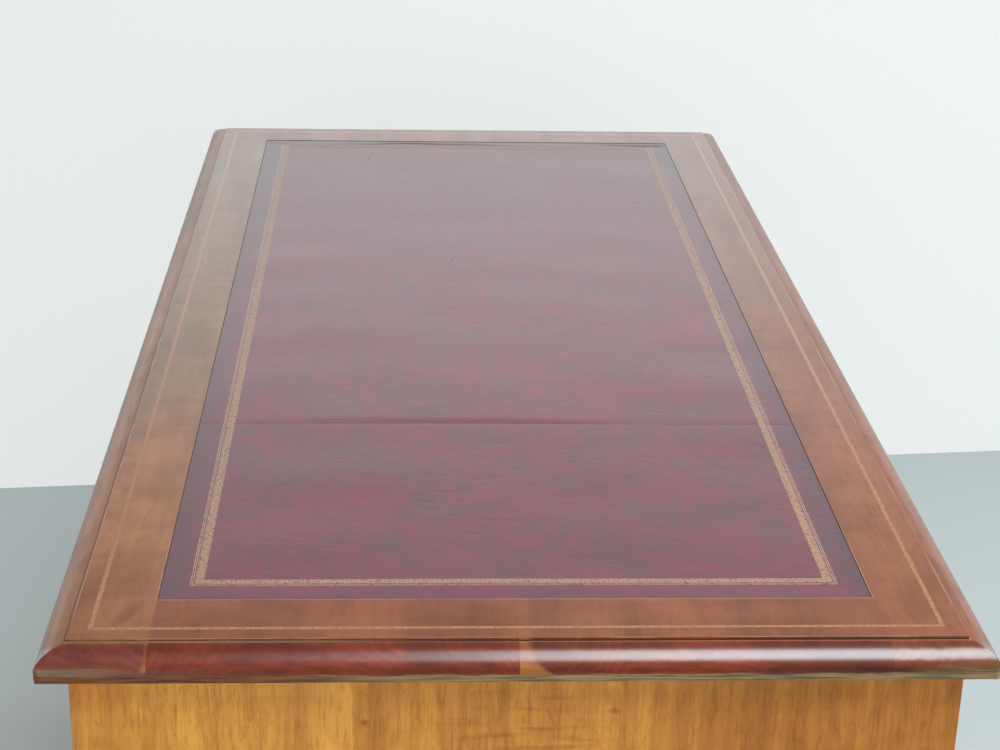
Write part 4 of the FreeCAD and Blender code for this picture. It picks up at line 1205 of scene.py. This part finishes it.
# %% Lay the hide
RIM_ANGLE = math.radians(60)
corners, faces = hide_mesh()
hide_piece = new_piece("writing_leather", corners, faces, hide.material)
hide_piece.data.shade_smooth()
hide_piece.data.set_sharp_from_angle(angle=RIM_ANGLE)
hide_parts("leather_inset")
print("hide laid:", len(hide_piece.data.polygons), "faces")

# %% [markdown]
# ## Gilt tooling
# The binder ran two fine lines round the hide and then a roll, a wheel cut with a scrolling stem and
# leaves, so the same half inch of ornament comes round again and again. The gold is rubbed through in
# specks, and it is duller towards the far end. It is pressed gold leaf, so each stroke is a very thin
# ribbon that follows the height of the hide. A picture of the pattern would be simpler but would blur close
# up.

# %% Ribbons of gold leaf
TOOLING_INSET = 18 * MM
LINE_WIDTH = 0.65 * MM
LINE_GAP = 0.65 * MM
ROLL_START = 2.5 * MM
ROLL_WIDTH = 6.5 * MM
GROUND_MARGIN = 0.3 * MM
MOTIF_PITCH = 12.5 * MM
LEAF_LIFT = 0.05 * MM
LEAF_THICKNESS = 0.05 * MM
RING_STEP = 4 * MM


class GoldLeaf:
    """Thin ribbons of gold collected into one piece."""

    def __init__(self, lift):
        self.corners = []
        self.faces = []
        self.lift = lift

    def corner(self, x, y):
        self.corners.append((x, y, LEATHER_HIGH.z + self.lift + float(hide_lift(x, y))))
        return len(self.corners) - 1

    def ribbon(self, left, right):
        """Quads between two rows of (x, y) places."""
        pairs = [(self.corner(*a), self.corner(*b)) for a, b in zip(left, right)]
        for (a, b), (c, d) in zip(pairs, pairs[1:]):
            self.faces.append((a, b, d, c))

    def stroke(self, path, widths):
        """A ribbon along a path, as wide at each place as widths say."""
        path = np.asarray(path)
        ahead = np.gradient(path, axis=0)
        ahead /= np.linalg.norm(ahead, axis=1)[:, None]
        aside = np.stack((-ahead[:, 1], ahead[:, 0]), axis=1) * np.asarray(widths)[:, None] / 2
        self.ribbon(path + aside, path - aside)

    def piece(self, name, finish):
        made = new_piece(name, self.corners, self.faces, finish)
        thick = made.modifiers.new("leaf_thickness", "SOLIDIFY")
        thick.thickness = LEAF_THICKNESS
        thick.offset = 1
        return made


def band_corners(inset):
    """The four corners of a rectangle that lies that far inside the hide's rim."""
    x = LEATHER_HIGH.x - inset
    y = LEATHER_HIGH.y - inset
    return [Vector((-x, -y)), Vector((x, -y)), Vector((x, y)), Vector((-x, y))]


def ring(leaf, inset, width):
    """A mitred band all round, cut into short lengths so that it follows the hide."""
    outer, inner = band_corners(inset), band_corners(inset + width)
    for side in range(4):
        ends = outer[side], outer[side - 3], inner[side], inner[side - 3]
        count = max(2, round((ends[1] - ends[0]).length / RING_STEP))
        shares = [step / count for step in range(count + 1)]
        outside = [ends[0].lerp(ends[1], share) for share in shares]
        inside = [ends[2].lerp(ends[3], share) for share in shares]
        leaf.ribbon(inside, outside)


print("gold leaf helper ready")

# %% Gilt finish
GOLD = rgb(0.335, 0.207, 0.134)
FAR_GOLD = rgb(0.275, 0.190, 0.138)
FAR_DULLS = (-0.05, 0.45)
GOLD_LOST = rgb(0.11, 0.032, 0.036)
GROUND_GOLD = rgb(0.26, 0.150, 0.090)
GROUND_LOST = rgb(0.09, 0.028, 0.034)
SPECK_SHARE = 0.35
KEPT_LEVELS = (0.50, 0.66)
GROUND_KEPT_LEVELS = (0.34, 0.50)
METAL_SHARE = 0.15
GROUND_METAL_SHARE = 0.2
GILT_RELIEF = 0.02 * MM

gilt = Finish("gilt")
worn = gilt.noise(gilt.spot, 230, 4, 0.65)
speck = gilt.noise(gilt.spot, 1500, 2)
kept = gilt.rise(gilt.sum("MULTIPLY_ADD", speck, SPECK_SHARE, worn), *KEPT_LEVELS)
gold = gilt.mix(gilt.rise(gilt.xyz[0], *FAR_DULLS), GOLD, FAR_GOLD)
gilt.put(Base_Color=gilt.mix(kept, GOLD_LOST, gold), Roughness=0.34)
gilt.put(Metallic=gilt.sum("MULTIPLY", kept, METAL_SHARE))
gilt.relief(speck, GILT_RELIEF)

rubbed_gilt = Finish("rubbed_gilt")
worn = rubbed_gilt.noise(rubbed_gilt.spot, 420, 3, 0.6)
kept = rubbed_gilt.rise(worn, *GROUND_KEPT_LEVELS)
rubbed_gilt.put(Base_Color=rubbed_gilt.mix(kept, GROUND_LOST, GROUND_GOLD))
rubbed_gilt.put(Metallic=rubbed_gilt.sum("MULTIPLY", kept, GROUND_METAL_SHARE), Roughness=0.36)
rubbed_gilt.relief(worn, GILT_RELIEF)
print("gilt finishes mixed")

# %% Motif of the roll
STEM_SWING = 1.15 * MM
STEM_WIDTH = 0.62 * MM
CURL_PLACE_SHARE = 0.52
CURL_ASIDE = 1.2 * MM
CURL_REACH = 1.55 * MM
CURL_CLOSING = 0.8
CURL_TURNS = 1.2
CURL_START = math.pi * 0.95
CURL_WIDTHS = (0.75 * MM, 0.5 * MM)
LEAF_LENGTH = 2.7 * MM
LEAF_WIDTH = 1.3 * MM
LEAF_TIP_SHARE = 0.12
LEAF_FULLNESS = 1.3
# Each leaf of the stem: its place as a share of half a motif, its lean and its share of a full leaf's length
STEM_LEAVES = ((0.10, 2.3, 0.9), (0.52, 1.35, 0.72), (0.92, 0.8, 0.9))
LAST_LEAF_SHARE = 0.93
LAST_LEAF_ASIDE = 0.9 * MM
LAST_LEAF_LEAN = 1.2
LAST_LEAF_LENGTH = LEAF_LENGTH * 0.75


def drop(start, direction, length, steps=6):
    """Path and shares of width of a leaf: thin at both ends, fullest past its middle."""
    shares = np.linspace(0, 1, steps)
    path = np.array(start)[None, :] + np.outer(shares * length, (math.cos(direction), math.sin(direction)))
    return path, np.maximum(LEAF_TIP_SHARE, np.sin(np.pi * shares ** LEAF_FULLNESS))


def half_motif(turn_side):
    """Strokes of one half of the motif, as (path, widths), from u = 0; turn_side is 1 or -1."""
    half = MOTIF_PITCH / 2
    u = np.linspace(0, half, 9)
    stem = np.stack((u, turn_side * STEM_SWING * np.sin(np.pi * u / half)), axis=1)
    angle = np.linspace(0, 2 * math.pi * CURL_TURNS, 16)
    reach = CURL_REACH * (1 - CURL_CLOSING * angle / angle[-1])
    turned = CURL_START - angle
    curl = np.stack((reach * np.cos(turned), -turn_side * reach * np.sin(turned)), axis=1)
    curl += (half * CURL_PLACE_SHARE, -turn_side * CURL_ASIDE)
    strokes = [(stem, np.full(len(u), STEM_WIDTH)), (curl, np.linspace(*CURL_WIDTHS, len(angle)))]
    leaves = []
    for place, lean, full_share in STEM_LEAVES:
        start = (place * half, turn_side * STEM_SWING * math.sin(math.pi * place))
        leaves.append(drop(start, turn_side * lean, LEAF_LENGTH * full_share))
    start = (LAST_LEAF_SHARE * half, -turn_side * LAST_LEAF_ASIDE)
    leaves.append(drop(start, -turn_side * LAST_LEAF_LEAN, LAST_LEAF_LENGTH))
    return strokes + [(path, LEAF_WIDTH * fullness) for path, fullness in leaves]


print("strokes in a motif:", 2 * len(half_motif(1)))

# %% Roll and lines
ROLL_MIDDLE = TOOLING_INSET + ROLL_START + ROLL_WIDTH / 2
SCROLL_LIFT = LEAF_LIFT + 0.06 * MM
PETALS = 8
PETAL_TURN = 0.2
PETAL_LENGTH = 3.0 * MM
PETAL_WIDTH = 1.3 * MM


def run_roll(leaf):
    """Rolls the motif along the four sides, a whole number of times on each."""
    middle = band_corners(ROLL_MIDDLE)
    for side in range(4):
        start, end = middle[side], middle[side - 3]
        ahead = (end - start).normalized()
        inward = Vector((-ahead.y, ahead.x))
        length = (end - start).length
        count = round(length / MOTIF_PITCH)
        for step in range(2 * count):
            first = step * length / (2 * count)
            for path, widths in half_motif(1 if step % 2 else -1):
                places = [start + ahead * (first + u) + inward * v for u, v in path]
                leaf.stroke(places, widths)


scroll = GoldLeaf(SCROLL_LIFT)
run_roll(scroll)
for corner in band_corners(ROLL_MIDDLE):
    for petal in range(PETALS):
        path, fullness = drop(corner, 2 * math.pi * petal / PETALS + PETAL_TURN, PETAL_LENGTH)
        scroll.stroke(path, PETAL_WIDTH * fullness)
scroll_piece = scroll.piece("gilt_scroll", gilt.material)
lines = GoldLeaf(LEAF_LIFT)
ring(lines, TOOLING_INSET, LINE_WIDTH)
ring(lines, TOOLING_INSET + LINE_WIDTH + LINE_GAP, LINE_WIDTH)
lines_piece = lines.piece("gilt_lines", gilt.material)
ground = GoldLeaf(LEAF_LIFT)
ring(ground, TOOLING_INSET + ROLL_START + GROUND_MARGIN, ROLL_WIDTH - 2 * GROUND_MARGIN)
ground_piece = ground.piece("gilt_ground", rubbed_gilt.material)
print("gilding:", len(scroll.faces) + len(lines.faces) + len(ground.faces), "faces")

# %% [markdown]
# ## Softened edges
# A sawn edge is never knife sharp once a hand has sanded it. The boards of the case come with square edges,
# so a Bevel modifier rounds them by little more than half a millimetre. Their faces are separate in the
# bare model, so a Weld modifier joins them first. Moulded and turned pieces are round already and are left
# alone.

# %% Soften the boards
SANDED = 0.6 * MM
WELD_GAP = 0.01 * MM
SOFT_BOARDS = (
    "left_end_panel",
    "right_end_panel",
    "left_kneehole_side",
    "right_kneehole_side",
    "kneehole_ceiling",
)
for node in SOFT_BOARDS:
    weld = nodes[node].modifiers.new("weld", "WELD")
    weld.merge_threshold = WELD_GAP
    soft = nodes[node].modifiers.new("sanded_edges", "BEVEL")
    soft.width = SANDED
    soft.segments = 2
    soft.limit_method = "ANGLE"
print("softened", len(SOFT_BOARDS), "boards")
